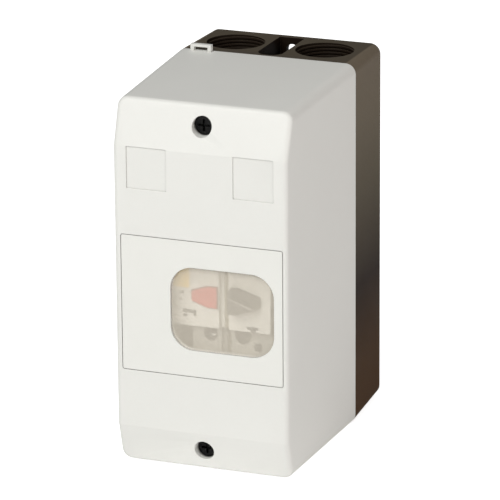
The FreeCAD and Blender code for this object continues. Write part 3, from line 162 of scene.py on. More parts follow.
def mix_color(tree, factor, first, second):
    return put(tree, "ShaderNodeMix", {0: factor, 6: first, 7: second}, data_type="RGBA").outputs[2]


def math_node(tree, operation, first, second=0.0):
    return put(tree, "ShaderNodeMath", {0: first, 1: second}, operation=operation).outputs[0]


def spread(tree, value, low, high, new_low=0.0, new_high=1.0):
    """Clamped change of range."""
    return put(tree, "ShaderNodeMapRange", {0: value, 1: low, 2: high, 3: new_low, 4: new_high}).outputs[0]


def about_middle(tree, noise, amount):
    """How far a noise stands above or below its middle, times an amount."""
    return math_node(tree, "MULTIPLY", math_node(tree, "SUBTRACT", noise, 0.5), amount)


# Grain, flow clouds, worn edges that are partly painted highlights, and painted shade in the seams, which
# all the mouldings share.
skin, given, result = new_tree(
    "moulded_skin", "ShaderNodeTree",
    [("Color", "NodeSocketColor", (0.8, 0.8, 0.8, 1)),
     ("Edge Wear And Highlight Color", "NodeSocketColor", (0.9, 0.9, 0.9, 1)),
     ("Roughness", "NodeSocketFloat", 0.5), ("Clouds", "NodeSocketFloat", 0.04),
     ("Grain", "NodeSocketFloat", 2600.0), ("Grain Depth", "NodeSocketFloat", 0.1),
     ("Edge", "NodeSocketFloat", 0.4 * MM), ("Edge Wear And Highlight", "NodeSocketFloat", 0.5),
     ("Crevice Shade", "NodeSocketFloat", 0.0)],
    [("Color", "NodeSocketColor"), ("Roughness", "NodeSocketFloat"), ("Normal", "NodeSocketVector")])
place = put(skin, "ShaderNodeTexCoord").outputs["Object"]
clouds = put(skin, "ShaderNodeTexNoise", {
    "Vector": place, "Scale": 34.0, "Detail": 4.0, "Roughness": 0.6}).outputs[0]
specks = put(skin, "ShaderNodeTexNoise", {"Vector": place, "Scale": 900.0, "Detail": 2.0}).outputs[0]
grain = put(skin, "ShaderNodeTexNoise", {
    "Vector": place, "Scale": given["Grain"], "Detail": 3.0, "Roughness": 0.7}).outputs[0]
softened_edge = put(skin, "ShaderNodeBevel", {"Radius": given["Edge"]}, samples=6).outputs[0]
facing = put(skin, "ShaderNodeNewGeometry").outputs["Normal"]
agreement = put(skin, "ShaderNodeVectorMath", {0: softened_edge, 1: facing}, operation="DOT_PRODUCT")
edge_mask = spread(skin, agreement.outputs["Value"], 0.995, 0.86)
patchy = spread(skin, clouds, 0.35, 0.65, 0.25, 1.0)
# Edges get a lighter colour: partly worn plastic, partly painted highlight.
edge_wear_and_highlight_mask = math_node(skin, "MULTIPLY", math_node(skin, "MULTIPLY", edge_mask, patchy), given["Edge Wear And Highlight"])
flow = math_node(skin, "ADD", 1.0, about_middle(skin, clouds, given["Clouds"]))
speckle = about_middle(skin, specks, math_node(skin, "MULTIPLY", given["Clouds"], 0.6))
brightness = math_node(skin, "ADD", flow, speckle)
tinted = put(skin, "ShaderNodeVectorMath", {0: given["Color"], "Scale": brightness}, operation="SCALE")
rough = math_node(skin, "ADD", given["Roughness"], about_middle(skin, clouds, 0.12))
polished = math_node(skin, "SUBTRACT", rough, math_node(skin, "MULTIPLY", edge_wear_and_highlight_mask, 0.12))
# Ambient occlusion darkens seams and crevices towards a brownish grey: painted shade.
recess = put(skin, "ShaderNodeAmbientOcclusion", {"Distance": 1.2 * MM}, samples=6).outputs["AO"]
crevice_shade_mask = spread(skin, recess, 0.15, 0.75, given["Crevice Shade"], 0.0)
clean = mix_color(skin, edge_wear_and_highlight_mask, tinted.outputs[0], given["Edge Wear And Highlight Color"])
crevice_shaded = mix_color(skin, crevice_shade_mask, clean, (0.20, 0.185, 0.16, 1))
bumped = put(skin, "ShaderNodeBump", {
    "Strength": given["Grain Depth"], "Distance": 0.2 * MM, "Height": grain, "Normal": softened_edge})
for socket_name, source in (("Color", crevice_shaded), ("Roughness", polished), ("Normal", bumped.outputs[0])):
    skin.links.new(source, result.inputs[socket_name])


def new_material(name):
    """Plain material; gives it, its node tree and its shader."""
    material = bpy.data.materials.new(name)
    material.use_nodes = True
    tree = material.node_tree
    return material, tree, tree.nodes["Principled BSDF"]


def wear(tree, shader, shared_skin, settings):
    """Place a shared skin in a material with its own values, and feed the shader from it."""
    group = put(tree, "ShaderNodeGroup", settings, node_tree=shared_skin)
    for socket, target in (("Color", "Base Color"), ("Roughness", "Roughness"), ("Normal", "Normal")):
        tree.links.new(group.outputs[socket], shader.inputs[target])


def moulding(name, color, roughness, edge_wear_and_highlight_color=None, clouds=0.05, grain=2600.0, depth=0.12, edge_wear_and_highlight_amount=0.4,
             shine=0.5, crevice_shade=0.0):
    """Moulded plastic: every part of its finish that varies comes from the shared skin."""
    material, tree, shader = new_material(name)
    shader.inputs["Specular IOR Level"].default_value = shine
    light = edge_wear_and_highlight_color or tuple(min(1, channel * 1.12 + 0.015) for channel in color)
    wear(tree, shader, skin, {
        "Color": (*color, 1), "Edge Wear And Highlight Color": (*light, 1), "Roughness": roughness, "Clouds": clouds,
        "Grain": grain, "Grain Depth": depth, "Edge": 0.4 * MM, "Edge Wear And Highlight": edge_wear_and_highlight_amount, "Crevice Shade": crevice_shade})
    return material


def body_holding(node):
    """Name of the body that a CAD node moves with."""
    return next(name for name, held in frame["record"]["behaviour"]["bodies"].items() if node in held)


same_place, flat_turn, sharp_turn, broad_area = 0.002 * MM, radians(0.5), radians(32), 200 * MM ** 2


def joined_copy(node, round_width):
    """The node's shape with its facets merged into whole faces and its sharp edges rounded.
    Where two broad faces meet, even a shallow bend stays a line."""
    piece = bpy.data.objects.new(f"{node}_moulding", frame["nodes"][node].data.copy())
    scene.collection.objects.link(piece)
    shape = bmesh.new()
    shape.from_mesh(piece.data)
    bmesh.ops.remove_doubles(shape, verts=shape.verts, dist=same_place)
    bmesh.ops.dissolve_limit(shape, angle_limit=flat_turn, verts=shape.verts, edges=shape.edges)
    bmesh.ops.recalc_face_normals(shape, faces=shape.faces)
    shape.to_mesh(piece.data)
    piece.data.shade_smooth()
    piece.data.set_sharp_from_angle(angle=sharp_turn)
    shape.clear()
    shape.from_mesh(piece.data)
    for edge in shape.edges:
        if len(edge.link_faces) == 2 and min(face.calc_area() for face in edge.link_faces) > broad_area:
            edge.smooth = False
    shape.to_mesh(piece.data)
    shape.free()
    if round_width:
        rounding = piece.modifiers.new("edge rounding", "BEVEL")
        rounding.width = round_width
        rounding.segments = 2
        rounding.limit_method = "ANGLE"
        rounding.angle_limit = radians(40)
        rounding.harden_normals = True
        rounding.use_clamp_overlap = True
    return piece


def finish_node(node, material, round_width=0.0):
    """Show the node as a joined copy in its material, on the node's own body."""
    piece = joined_copy(node, round_width)
    piece.data.materials.clear()
    piece.data.materials.append(material)
    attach(piece, body_holding(node))
    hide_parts(node)


# The cover and the panel get strong painted shade in their seams.
light_grey = moulding("light_grey_cover_plastic", (0.80, 0.80, 0.765), 0.46, clouds=0.035, crevice_shade=0.75)
finish_node("cover", light_grey, 0.25 * MM)

# ---------------------------------------------------------------- front insert
# Separate snap-in panel of the same plastic, a shade apart from the cover.  Its skirt passes
# the cover's opening and hooks behind the ledge.

panel_grey = moulding("panel_plastic", (0.815, 0.815, 0.775), 0.44, clouds=0.03, crevice_shade=0.6)
finish_node("front_insert", panel_grey, 0.2 * MM)

# ---------------------------------------------------------------- window membrane
# Soft silicone sheet behind the window, held by a white ring.  A finger pushes it in to reach
# the buttons, so it is cloudy, slightly crowned and thin.


def rounded_loop(low, high, radius, steps):
    """Points round a rectangle in the X-Z plane whose corners are arcs."""
    left, right, bottom, top = low.x + radius, high.x - radius, low.z + radius, high.z - radius
    points = []
    for quarter, (x, z) in enumerate(((right, top), (left, top), (left, bottom), (right, bottom))):
        for step in range(steps + 1):
            turn = (quarter + step / steps) * pi / 2
            points.append((x + radius * cos(turn), z + radius * sin(turn)))
    return points


def membrane_mesh(name, low, high, corner, thick):
    """Closed sheet made of shrinking loops: a flat flange, a rolled bead and a shallow crown."""
    flange, bead, bead_half, crown = 1.4 * MM, 0.22 * MM, 0.9 * MM, 0.35 * MM
    rings, corner_steps = 12, 8
    reach = min(high.x - low.x, high.z - low.z) / 2 - 0.5 * MM
    shape = bmesh.new()
    loops = []
    for side in (0, 1):
        for ring in range(rings + 1):
            inset = reach * (ring / rings) ** 1.6
            radius = max(corner - inset, 0.4 * MM)
            roll_in = max(0.0, 1 - abs(inset - flange) / bead_half)
            inward = min(1, max(0, (inset - flange) / (reach - flange)))
            swell = crown * sin(inward * pi / 2)
            depth = low.y + side * thick + swell * 0.6 - bead * roll_in * (1 - 2 * side) * 0.5
            depth = min(max(depth, low.y), high.y)
            inner_low, inner_high = low + Vector((inset, 0, inset)), high - Vector((inset, 0, inset))
            loops.append([shape.verts.new((x, depth, z))
                          for x, z in rounded_loop(inner_low, inner_high, radius, corner_steps)])
    chains = loops[:rings + 1], loops[rings + 1:]
    for side, chain in enumerate(chains):
        for outer, inner in zip(chain, chain[1:]):
            for n in range(len(outer)):
                following = (n + 1) % len(outer)
                face = (outer[n], outer[following], inner[following], inner[n])
                shape.faces.new(face if side else face[::-1])
        shape.faces.new(chain[-1] if side else chain[-1][::-1])
    front_rim, back_rim = chains[0][0], chains[1][0]
    for n in range(len(front_rim)):
        following = (n + 1) % len(front_rim)
        shape.faces.new((front_rim[n], front_rim[following], back_rim[following], back_rim[n]))
    bmesh.ops.remove_doubles(shape, verts=shape.verts, dist=same_place / 2)
    bmesh.ops.recalc_face_normals(shape, faces=shape.faces)
    mesh = bpy.data.meshes.new(name)
    shape.to_mesh(mesh)
    shape.free()
    mesh.shade_smooth()
    return mesh


silicone, silicone_tree, silicone_shader = new_material("cloudy_silicone")
wear(silicone_tree, silicone_shader, skin, {
    "Color": (0.80, 0.735, 0.62, 1), "Edge Wear And Highlight Color": (0.86, 0.80, 0.70, 1), "Roughness": 0.36,
    "Clouds": 0.08, "Grain": 1500.0, "Grain Depth": 0.06, "Edge": 0.2 * MM, "Edge Wear And Highlight": 0.3})
rays = put(silicone_tree, "ShaderNodeLightPath")
indirect = math_node(silicone_tree, "MAXIMUM", rays.outputs["Is Shadow Ray"], rays.outputs["Is Diffuse Ray"])
haze = put(silicone_tree, "ShaderNodeTexNoise", {
    "Vector": put(silicone_tree, "ShaderNodeTexCoord").outputs["Object"], "Scale": 60.0, "Detail": 3.0})
cloudiness = spread(silicone_tree, haze.outputs[0], 0.3, 0.7, 0.33, 0.37)
seen = math_node(silicone_tree, "SUBTRACT", cloudiness, math_node(silicone_tree, "MULTIPLY", indirect, 0.6))
silicone_tree.links.new(seen, silicone_shader.inputs["Alpha"])

sheet_low, sheet_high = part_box("window_membrane")
sheet_corner, sheet_thick = 11.2 * MM, 0.45 * MM
membrane = bpy.data.objects.new("window_membrane_sheet", membrane_mesh(
    "window_membrane_sheet", sheet_low, sheet_high, sheet_corner, sheet_thick))
scene.collection.objects.link(membrane)
membrane.data.materials.append(silicone)
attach(membrane, "cover")
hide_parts("window_membrane")

white_plastic = moulding("white_inner_plastic", (0.70, 0.70, 0.67), 0.42, clouds=0.05)
finish_node("membrane_retainer", white_plastic, 0.15 * MM)

# ---------------------------------------------------------------- base housing
# Black-brown glass-filled moulding, near black inside.  Its satin outer walls carry a painted
# reflection that is paler towards the top, its upward top land is painted lighter as painted
# light, and its rims get painted highlights.  It carries the rail pillars, the screw pillars,
# the open mounting pockets and the four cable entries.


def placed_axes(material):
    """X, Y and Z of a point in the CAD frame, for a finish that changes from place to place."""
    tree = material.node_tree
    return put(tree, "ShaderNodeSeparateXYZ", {0: put(tree, "ShaderNodeTexCoord").outputs["Object"]}).outputs


def colored_by(material, color):
    """Lead a colour that changes from place to place into a material's shared skin."""
    tree = material.node_tree
    tree.links.new(color, next(node for node in tree.nodes if node.type == "GROUP").inputs["Color"])


# Its light edge colour paints highlights on the rims.
base_brown = moulding("black_brown_base_plastic", (0.020, 0.012, 0.007), 0.46, edge_wear_and_highlight_color=(0.12, 0.10, 0.075),
                      clouds=0.18, grain=2000.0, depth=0.12, edge_wear_and_highlight_amount=0.45, shine=0.04)
brown_tree, brown_place = base_brown.node_tree, placed_axes(base_brown)
wall_foot, wall_top, wall_inside, wall_outside = 0.0, 160 * MM, 35.2 * MM, 35.8 * MM
# Painted reflection on the outer walls: the colour steps with height and pales towards the top, where the
# glossy walls would reflect the warm side light.
painted_wall_reflection = put(brown_tree, "ShaderNodeValToRGB", {0: spread(brown_tree, brown_place["Z"], wall_foot, wall_top)})
painted_wall_reflection.color_ramp.elements[0].color = (0.065, 0.028, 0.006, 1)
painted_wall_reflection.color_ramp.elements[1].color = (0.165, 0.135, 0.098, 1)
for height, tone in ((0.16, (0.058, 0.026, 0.006, 1)), (0.38, (0.016, 0.006, 0.001, 1)),
                     (0.65, (0.10, 0.082, 0.054, 1)), (0.84, (0.150, 0.124, 0.088, 1))):
    painted_wall_reflection.color_ramp.elements.new(height).color = tone
sideways = math_node(brown_tree, "ABSOLUTE", brown_place["X"])
outer_wall = spread(brown_tree, sideways, wall_inside, wall_outside)
# Upward faces of the top land are painted lighter: painted light.
surface_normal = put(brown_tree, "ShaderNodeNewGeometry").outputs["Normal"]
facing_up = put(brown_tree, "ShaderNodeSeparateXYZ", {0: surface_normal}).outputs["Z"]
painted_top_light = math_node(brown_tree, "MULTIPLY", spread(brown_tree, facing_up, 0.90, 0.97),
                     spread(brown_tree, brown_place["Z"], 150 * MM, 154 * MM))
inside_and_lit_top_tone = mix_color(brown_tree, painted_top_light, (0.014, 0.009, 0.006, 1), (0.085, 0.070, 0.050, 1))
colored_by(base_brown, mix_color(brown_tree, outer_wall, inside_and_lit_top_tone, painted_wall_reflection.outputs["Color"]))
finish_node("base_housing", base_brown, 0.3 * MM)

# Thread ridges in the cable entries, pitch 1.5 mm, and every other winding of the object.
winding, given, result = new_tree(
    "winding_on_points", "GeometryNodeTree",
    [("Points", "NodeSocketGeometry", None), ("Radius", "NodeSocketFloat", 0.01),
     ("Length", "NodeSocketFloat", 0.01), ("Turns", "NodeSocketFloat", 5.0),
     ("Steps", "NodeSocketInt", 32), ("Wire", "NodeSocketFloat", 0.0005), ("Sides", "NodeSocketInt", 8),
     ("Tilt", "NodeSocketVector", (0, 0, 0)), ("Finish", "NodeSocketMaterial", None)],
    [("Geometry", "NodeSocketGeometry")])
spiral = put(winding, "GeometryNodeCurveSpiral", {
    "Resolution": given["Steps"], "Rotations": given["Turns"], "Start Radius": given["Radius"],
    "End Radius": given["Radius"], "Height": given["Length"]})
section = put(winding, "GeometryNodeCurvePrimitiveCircle", {
    "Resolution": given["Sides"], "Radius": given["Wire"]})
swept = put(winding, "GeometryNodeCurveToMesh", {
    "Curve": spiral.outputs[0], "Profile Curve": section.outputs[0], "Fill Caps": True})
placed = put(winding, "GeometryNodeInstanceOnPoints", {
    "Points": given["Points"], "Instance": swept.outputs[0], "Rotation": given["Tilt"]})
whole = put(winding, "GeometryNodeRealizeInstances", {0: placed.outputs[0]})
smooth = put(winding, "GeometryNodeSetShadeSmooth", {0: whole.outputs[0]})
finished = put(winding, "GeometryNodeSetMaterial", {0: smooth.outputs[0], "Material": given["Finish"]})
winding.links.new(finished.outputs[0], result.inputs[0])


def wound(name, points, settings):
    """Run the winding tree on loose points and keep the result as a plain mesh."""
    seeds = bpy.data.meshes.new(name)
    seeds.from_pydata([tuple(point) for point in points], [], [])
    piece = bpy.data.objects.new(name, seeds)
    scene.collection.objects.link(piece)
    modifier = piece.modifiers.new(name, "NODES")
    modifier.node_group = winding
    for socket in winding.interface.items_tree:
        if socket.in_out == "INPUT" and socket.name in settings:
            modifier[socket.identifier] = settings[socket.name]
    evaluated = piece.evaluated_get(bpy.context.evaluated_depsgraph_get())
    mesh = bpy.data.meshes.new_from_object(evaluated)
    piece.modifiers.remove(modifier)
    piece.data = mesh
    return piece


entries = [mount for mount in frame["record"]["mounts"] if mount["name"].endswith("_entry")]
thread_pitch, thread_tall, thread_ridge, thread_proud = 1.5 * MM, 6.0 * MM, 0.62 * MM, 0.05 * MM
thread_feet = []
for mount in entries:
    x, y, z = mount["pos_m"]
    thread_feet.append((x, y, z - thread_tall / 2))
threads = wound("entry_threads", thread_feet, {
    "Radius": entries[0]["dims"]["r_mm"] * MM + thread_proud, "Length": thread_tall,
    "Turns": thread_tall / thread_pitch, "Steps": 64, "Wire": thread_ridge, "Sides": 6,
    "Finish": base_brown})
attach(threads, "enclosure")

# ---------------------------------------------------------------- cover screws and boss inserts
# Long M4 screws, chemically blackened, whose cross-slotted heads sit down in the cover, and
# the brass inserts in the base that they turn into.

metal_skin, given, result = new_tree(
    "machined_skin", "ShaderNodeTree",
    [("Color", "NodeSocketColor", (0.6, 0.6, 0.6, 1)), ("Dull Color", "NodeSocketColor", (0.4, 0.4, 0.4, 1)),
     ("Roughness", "NodeSocketFloat", 0.3), ("Streaks", "NodeSocketVector", (300, 300, 300)),
     ("Depth", "NodeSocketFloat", 0.1)],
    [("Color", "NodeSocketColor"), ("Roughness", "NodeSocketFloat"), ("Normal", "NodeSocketVector")])
place = put(metal_skin, "ShaderNodeTexCoord").outputs["Object"]
pulled = put(metal_skin, "ShaderNodeVectorMath", {0: place, 1: given["Streaks"]}, operation="MULTIPLY")
lines = put(metal_skin, "ShaderNodeTexNoise", {
    "Vector": pulled.outputs[0], "Scale": 1.0, "Detail": 5.0, "Roughness": 0.65}).outputs[0]
tarnish = put(metal_skin, "ShaderNodeTexNoise", {"Vector": place, "Scale": 120.0, "Detail": 5.0})
dulled = spread(metal_skin, tarnish.outputs[0], 0.42, 0.72, 0.0, 0.75)
toned = mix_color(metal_skin, dulled, given["Color"], given["Dull Color"])
unevenness = math_node(metal_skin, "MULTIPLY", math_node(metal_skin, "ADD", dulled, lines), 0.16)
uneven = math_node(metal_skin, "ADD", given["Roughness"], unevenness)
scratched = put(metal_skin, "ShaderNodeBump", {
    "Strength": given["Depth"], "Distance": 0.1 * MM, "Height": lines}).outputs[0]
for socket_name, source in (("Color", toned), ("Roughness", uneven), ("Normal", scratched)):
    metal_skin.links.new(source, result.inputs[socket_name])


def metal(name, color, dull, roughness, streaks=(900, 900, 900)):
    """Bare or plated metal with fine tool lines and a faint tarnish."""
    material, tree, shader = new_material(name)
    shader.inputs["Metallic"].default_value = 1.0
    wear(tree, shader, metal_skin, {
        "Color": (*color, 1), "Dull Color": (*dull, 1), "Roughness": roughness, "Streaks": streaks,
        "Depth": 0.12})
    return material


blackened = metal("blackened_steel", (0.024, 0.024, 0.024), (0.012, 0.012, 0.012), 0.40)
brass = metal("machined_brass", (0.86, 0.64, 0.30), (0.62, 0.44, 0.20), 0.24)
zinc = metal("zinc_plated_steel", (0.72, 0.73, 0.75), (0.52, 0.54, 0.58), 0.26)
finish_node("cover_screws", blackened, 0.15 * MM)
finish_node("boss_inserts", brass, 0.15 * MM)

# ---------------------------------------------------------------- gasket
# A ring of foamed rubber round the joint, laid in the base's groove, where the cover's rim
# presses on it.

rubber = moulding("foamed_rubber", (0.03, 0.03, 0.03), 0.8, clouds=0.4, grain=1400.0, depth=0.5, edge_wear_and_highlight_amount=0.1)
finish_node("cover_gasket", rubber)

# ---------------------------------------------------------------- rail, earth and neutral terminals
# A zinc-plated top-hat rail screwed to two pillars.  A small grey carrier sits on it beside
# the breaker, with brass blocks for the earth and neutral wires.

carrier_grey = moulding("carrier_plastic", (0.34, 0.35, 0.36), 0.45)
rail_steel = metal("rail_steel", (0.70, 0.71, 0.73), (0.50, 0.52, 0.56), 0.28, streaks=(40, 1600, 1600))
finish_node("top_hat_rail", rail_steel, 0.2 * MM)
finish_node("rail_screws", zinc, 0.1 * MM)
finish_node("terminal_carrier", carrier_grey, 0.3 * MM)
for block in ("earth_terminal", "neutral_terminal"):
    finish_node(block, brass, 0.2 * MM)
finish_node("terminal_screws", zinc, 0.1 * MM)

# ---------------------------------------------------------------- breaker housings
# Two halves in warm light grey and dark grey thermoplastic, snapped together at the joint
# plane.  The nose carries the controls behind the enclosure's window.  Its recessed dial plate
# and its groove carry painted shade, darker than its face, and the strip left of the dial plate
# is painted near black.


def band(tree, value, start, full, fading, end):
    """Mask that rises from start to full and falls from fading to end."""
    return math_node(tree, "MULTIPLY", spread(tree, value, start, full), spread(tree, value, end, fading))


nose_grey = moulding("breaker_front_plastic", (0.70, 0.68, 0.62), 0.5, clouds=0.06, grain=2200.0,
                     edge_wear_and_highlight_amount=0.3)
nose_tree, nose_place = nose_grey.node_tree, placed_axes(nose_grey)
ledge_height, dial_plate_left, paint_blur = 62.4 * MM, -8.7 * MM, 0.2 * MM
# Below the ledge the dial plate is painted darker as painted shade, and the strip left of it is painted near
# black.
below_ledge = spread(nose_tree, nose_place["Z"], ledge_height + paint_blur, ledge_height)
beside_plate = spread(nose_tree, nose_place["X"], dial_plate_left + paint_blur, dial_plate_left)
# The groove is painted darker as painted shade, on the face and below the ledge.
groove_shade_mask = band(nose_tree, nose_place["X"], 6.2 * MM, 7.0 * MM, 9.0 * MM, 9.4 * MM)
plate_shade_and_dark_strip = mix_color(nose_tree, beside_plate, (0.46, 0.445, 0.395, 1), (0.10, 0.095, 0.085, 1))
lower_painted_shade = mix_color(nose_tree, groove_shade_mask, plate_shade_and_dark_strip, (0.11, 0.10, 0.07, 1))
face_with_painted_groove_shade = mix_color(nose_tree, groove_shade_mask, (0.72, 0.70, 0.64, 1), (0.24, 0.215, 0.15, 1))
colored_by(nose_grey, mix_color(nose_tree, below_ledge, face_with_painted_groove_shade, lower_painted_shade))
rear_grey = moulding("breaker_rear_plastic", (0.075, 0.075, 0.08), 0.5, clouds=0.2, grain=2000.0)
finish_node("breaker_upper_housing", nose_grey, 0.3 * MM)
finish_node("breaker_lower_housing", rear_grey, 0.2 * MM)

# ---------------------------------------------------------------- buttons, rocker, dials and test button
# Glossy red and black push-buttons linked by a white rocker on a steel pin, so one comes out
# as the other goes in.  A painted highlight line crosses the black cap where its face turns, the
# cap is painted lighter below that line and darker above it as painted reflection and shade, and
# its edges get painted highlight lines.  The dials and the square test button are turned or
# pushed with a tool.

red = moulding("red_button_plastic", (0.56, 0.028, 0.018), 0.34, edge_wear_and_highlight_color=(0.72, 0.10, 0.07), clouds=0.12,
               grain=1800.0, depth=0.05)
# A high edge colour paints highlight lines along the black cap's edges.
black = moulding("black_button_plastic", (0.05, 0.048, 0.045), 0.36, edge_wear_and_highlight_color=(0.34, 0.33, 0.31), clouds=0.2,
                 grain=1800.0, depth=0.05, edge_wear_and_highlight_amount=0.8)
black_tree, black_place = black.node_tree, placed_axes(black)
# Painted highlight line across the cap where its face turns, with painted light on the cap below it and
# painted shade above.
leaning = math_node(black_tree, "MULTIPLY", black_place["X"], 0.34)
fall = math_node(black_tree, "ADD", black_place["Z"], leaning)
painted_edge_highlight = band(black_tree, fall, 80.8 * MM, 81.2 * MM, 81.6 * MM, 82.0 * MM)
painted_face_light = spread(black_tree, fall, 81.4 * MM, 81.2 * MM)
painted_cap_light_and_shade = mix_color(black_tree, painted_face_light, (0.03, 0.029, 0.027, 1), (0.085, 0.082, 0.076, 1))
colored_by(black, mix_color(black_tree, painted_edge_highlight, painted_cap_light_and_shade, (0.25, 0.235, 0.21, 1)))
finish_node("off_button", red, 0.4 * MM)
finish_node("on_button", black, 0.4 * MM)
finish_node("rocker_lever", white_plastic, 0.2 * MM)
finish_node("rocker_pin", zinc, 0.2 * MM)
dial_grey = moulding("dial_plastic", (0.03, 0.03, 0.03), 0.4, edge_wear_and_highlight_color=(0.16, 0.16, 0.16), clouds=0.15)
for control in ("overload_dial", "magnetic_dial", "test_button"):
    finish_node(control, dial_grey, 0.2 * MM)
tag_yellow = moulding("tag_film", (0.90, 0.62, 0.16), 0.45, clouds=0.1, depth=0.03)
finish_node("adjustment_tag", tag_yellow)

# ---------------------------------------------------------------- printed marks
# Dark ink bars and ticks beside the buttons and round the dials, and the pale pointer of the
# overload dial, all pad-printed and a few hundredths of a millimetre thick.

ink = moulding("printing_ink", (0.085, 0.085, 0.085), 0.5, clouds=0.2, grain=1200.0, depth=0.02)
pale_ink = moulding("pale_ink", (0.62, 0.61, 0.56), 0.5, clouds=0.1, grain=1200.0, depth=0.02)


def printed(name, outlines, depth, thick, material, body):
    """Flat marks, each given by its corners in the X-Z plane in mm, standing a hair proud of a face."""
    shape = bmesh.new()
    for outline in outlines:
        back = [shape.verts.new((x * MM, depth, z * MM)) for x, z in outline]
        front = [shape.verts.new((x * MM, depth - thick, z * MM)) for x, z in outline]
        shape.faces.new(back)
        shape.faces.new(front[::-1])
        for n in range(len(outline)):
            following = (n + 1) % len(outline)
            shape.faces.new((back[n], front[n], front[following], back[following]))
    bmesh.ops.recalc_face_normals(shape, faces=shape.faces)
    mesh = bpy.data.meshes.new(name)
    shape.to_mesh(mesh)
    shape.free()
    mesh.materials.append(material)
    marks = bpy.data.objects.new(name, mesh)
    scene.collection.objects.link(marks)
    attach(marks, body)


def bar(left, low, right, high):
    return ((left, low), (right, low), (right, high), (left, high))


def ticks_round(center, inner, outer):
    """Nine radial ticks round a dial, from lower left over the top to lower right."""
    half = 0.11
    ticks = []
    for angle in range(-120, 121, 30):
        along = Vector((sin(radians(angle)), cos(radians(angle))))
        aside = Vector((along.y, -along.x)) * half
        near, far = center + along * inner, center + along * outer
        ticks.append([tuple(corner) for corner in (near - aside, far - aside, far + aside, near + aside)])
    return ticks


nose_face, dial_face, ink_thick, pointer_thick = -49.5 * MM, -46.5 * MM, 0.04 * MM, 0.03 * MM
printed("nose_marks", [
    bar(-10.9, 68.0, -5.0, 69.6), bar(-10.9, 66.4, -8.9, 67.4), bar(-6.2, 66.9, -5.0, 68.0),
    bar(-12.3, 76.2, -10.5, 77.4), bar(-12.6, 73.4, -11.4, 74.2), bar(17.2, 63.6, 22.2, 64.9),
    bar(18.8, 62.6, 21.0, 63.6)], nose_face, ink_thick, ink, "enclosure")
low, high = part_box("overload_dial")
overload_center = Vector((low.x + high.x, low.z + high.z)) / 2 / MM
low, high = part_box("magnetic_dial")
magnetic_center = Vector((low.x + high.x, low.z + high.z)) / 2 / MM
printed("dial_marks", ticks_round(overload_center, 3.2, 3.9) + ticks_round(magnetic_center, 3.6, 4.3),
        dial_face, ink_thick, ink, "enclosure")
x, z = overload_center
printed("overload_pointer", [bar(x + 0.6, z - 0.5, x + 2.6, z + 0.5)],
        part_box("overload_dial")[0].y, pointer_thick, pale_ink, body_holding("overload_dial"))

# ---------------------------------------------------------------- contacts and arc chutes
# Copper strips and bridges with raised tips, the bridges carried by a white comb and pressed
# home by springs of 0.4 mm wire.  Plated splitter plates stand outside each contact pair.

copper = metal("bright_copper", (0.86, 0.47, 0.32), (0.60, 0.30, 0.20), 0.25, streaks=(1500, 300, 120))
finish_node("contact_carrier", white_plastic, 0.2 * MM)
poles = (1, 2, 3)
for pole in poles:
    for piece_name in (f"moving_bridge_{pole}", f"fixed_contact_line_{pole}", f"fixed_contact_load_{pole}"):
        finish_node(piece_name, copper, 0.12 * MM)
    for side in ("line", "load"):
        finish_node(f"arc_chute_{side}_{pole}", zinc, 0.1 * MM)

spring_wire, spring_turns = 0.2 * MM, 6
spring_steel = metal("spring_steel", (0.62, 0.62, 0.63), (0.42, 0.42, 0.44), 0.22)
sleeve_low, sleeve_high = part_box("contact_springs")
spring_radius = (sleeve_high.z - sleeve_low.z) / 2 - spring_wire
bridges = [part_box(f"moving_bridge_{pole}") for pole in poles]
spring_feet = [((low.x + high.x) / 2, sleeve_low.y + spring_wire, (sleeve_low.z + sleeve_high.z) / 2)
               for low, high in bridges]
contact_springs = wound("contact_spring_coils", spring_feet, {
    "Radius": spring_radius, "Length": sleeve_high.y - sleeve_low.y - spring_wire * 2, "Turns": spring_turns,
    "Steps": 24, "Wire": spring_wire, "Sides": 8, "Tilt": (-pi / 2, 0, 0), "Finish": spring_steel})
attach(contact_springs, "contact_carrier")
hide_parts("contact_springs")

# ---------------------------------------------------------------- trip system
# A magnet coil with a steel plunger and a bimetal strip for each pole, and the trip bar that
# all of them turn.

lacquered = metal("lacquered_copper_wire", (0.62, 0.25, 0.12), (0.45, 0.17, 0.08), 0.3)
bimetal_steel = metal("bimetal_steel", (0.66, 0.62, 0.55), (0.52, 0.42, 0.34), 0.3,
                      streaks=(1500, 300, 120))
bobbin = moulding("bobbin_plastic", (0.50, 0.48, 0.44), 0.5)
for pole in poles:
    finish_node(f"trip_coil_{pole}", bobbin, 0.15 * MM)
    finish_node(f"trip_plunger_{pole}", zinc, 0.15 * MM)
    finish_node(f"bimetal_{pole}", bimetal_steel, 0.1 * MM)
finish_node("trip_bar", white_plastic, 0.15 * MM)
coil_boxes = [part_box(f"trip_coil_{pole}") for pole in poles]
flange, wire_radius = 0.8 * MM, 0.42 * MM
coil_low, coil_high = coil_boxes[0]
winding_long = coil_high.z - coil_low.z - 2 * flange - 2 * wire_radius
coil_feet = [((low.x + high.x) / 2, (low.y + high.y) / 2, low.z + flange + wire_radius)
             for low, high in coil_boxes]
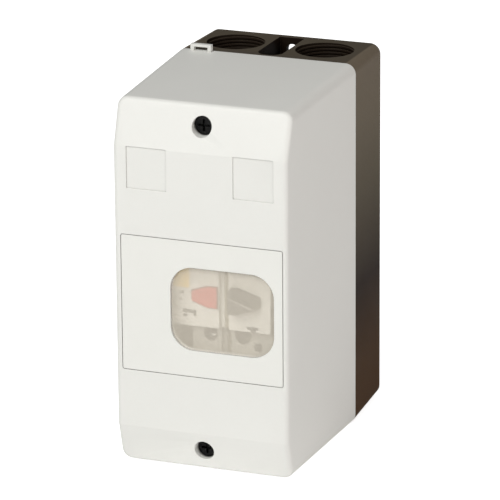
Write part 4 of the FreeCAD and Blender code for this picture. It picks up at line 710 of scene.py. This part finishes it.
windings = wound("trip_coil_windings", coil_feet, {
    "Radius": (coil_high.x - coil_low.x) / 2 - flange, "Length": winding_long,
    "Turns": winding_long / (2.05 * wire_radius), "Steps": 28, "Wire": wire_radius, "Sides": 6,
    "Finish": lacquered})
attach(windings, "enclosure")

# ---------------------------------------------------------------- breaker terminals and rail clip
# Plated cage clamps with slotted screws at both ends, and the sliding foot that hooks the
# breaker to the rail against its spring.

for clamp in ("line_clamps", "load_clamps", "clamp_screws"):
    finish_node(clamp, zinc, 0.15 * MM)
finish_node("rail_clip", rear_grey, 0.2 * MM)
clip_low, clip_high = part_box("rail_clip_spring")
spring_length, clip_travel = clip_high.z - clip_low.z, 4.0 * MM
spring_foot = ((clip_low.x + clip_high.x) / 2, (clip_low.y + clip_high.y) / 2, clip_low.z + spring_wire)
clip_spring = wound("rail_clip_spring_coil", [spring_foot], {
    "Radius": (clip_high.x - clip_low.x) / 2 - spring_wire, "Length": spring_length - spring_wire * 2,
    "Turns": 9, "Steps": 20, "Wire": spring_wire, "Sides": 8, "Finish": spring_steel})
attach(clip_spring, "enclosure")
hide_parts("rail_clip_spring")
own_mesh(clip_spring)

# ---------------------------------------------------------------- floor finish
# Plain matt white paint with a trace of mottling.  It glows towards the camera, so the ground
# stays pure white.

white_floor, floor_tree, floor_shader = new_material("white_floor")
mottle = put(floor_tree, "ShaderNodeTexNoise", {
    "Vector": put(floor_tree, "ShaderNodeTexCoord").outputs["Object"], "Scale": 2.0, "Detail": 2.0})
mottled_white = mix_color(floor_tree, mottle.outputs[0], (0.93, 0.93, 0.93, 1), (0.96, 0.96, 0.96, 1))
floor_tree.links.new(mottled_white, floor_shader.inputs["Base Color"])
floor_shader.inputs["Roughness"].default_value = 0.9
floor_shader.inputs["Emission Color"].default_value = (1, 1, 1, 1)
seen_directly = put(floor_tree, "ShaderNodeLightPath").outputs["Is Camera Ray"]
floor_glow = spread(floor_tree, seen_directly, 0, 1, 0.1, 0.85)
floor_tree.links.new(floor_glow, floor_shader.inputs["Emission Strength"])
floor.data.materials.append(white_floor)

low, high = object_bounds()
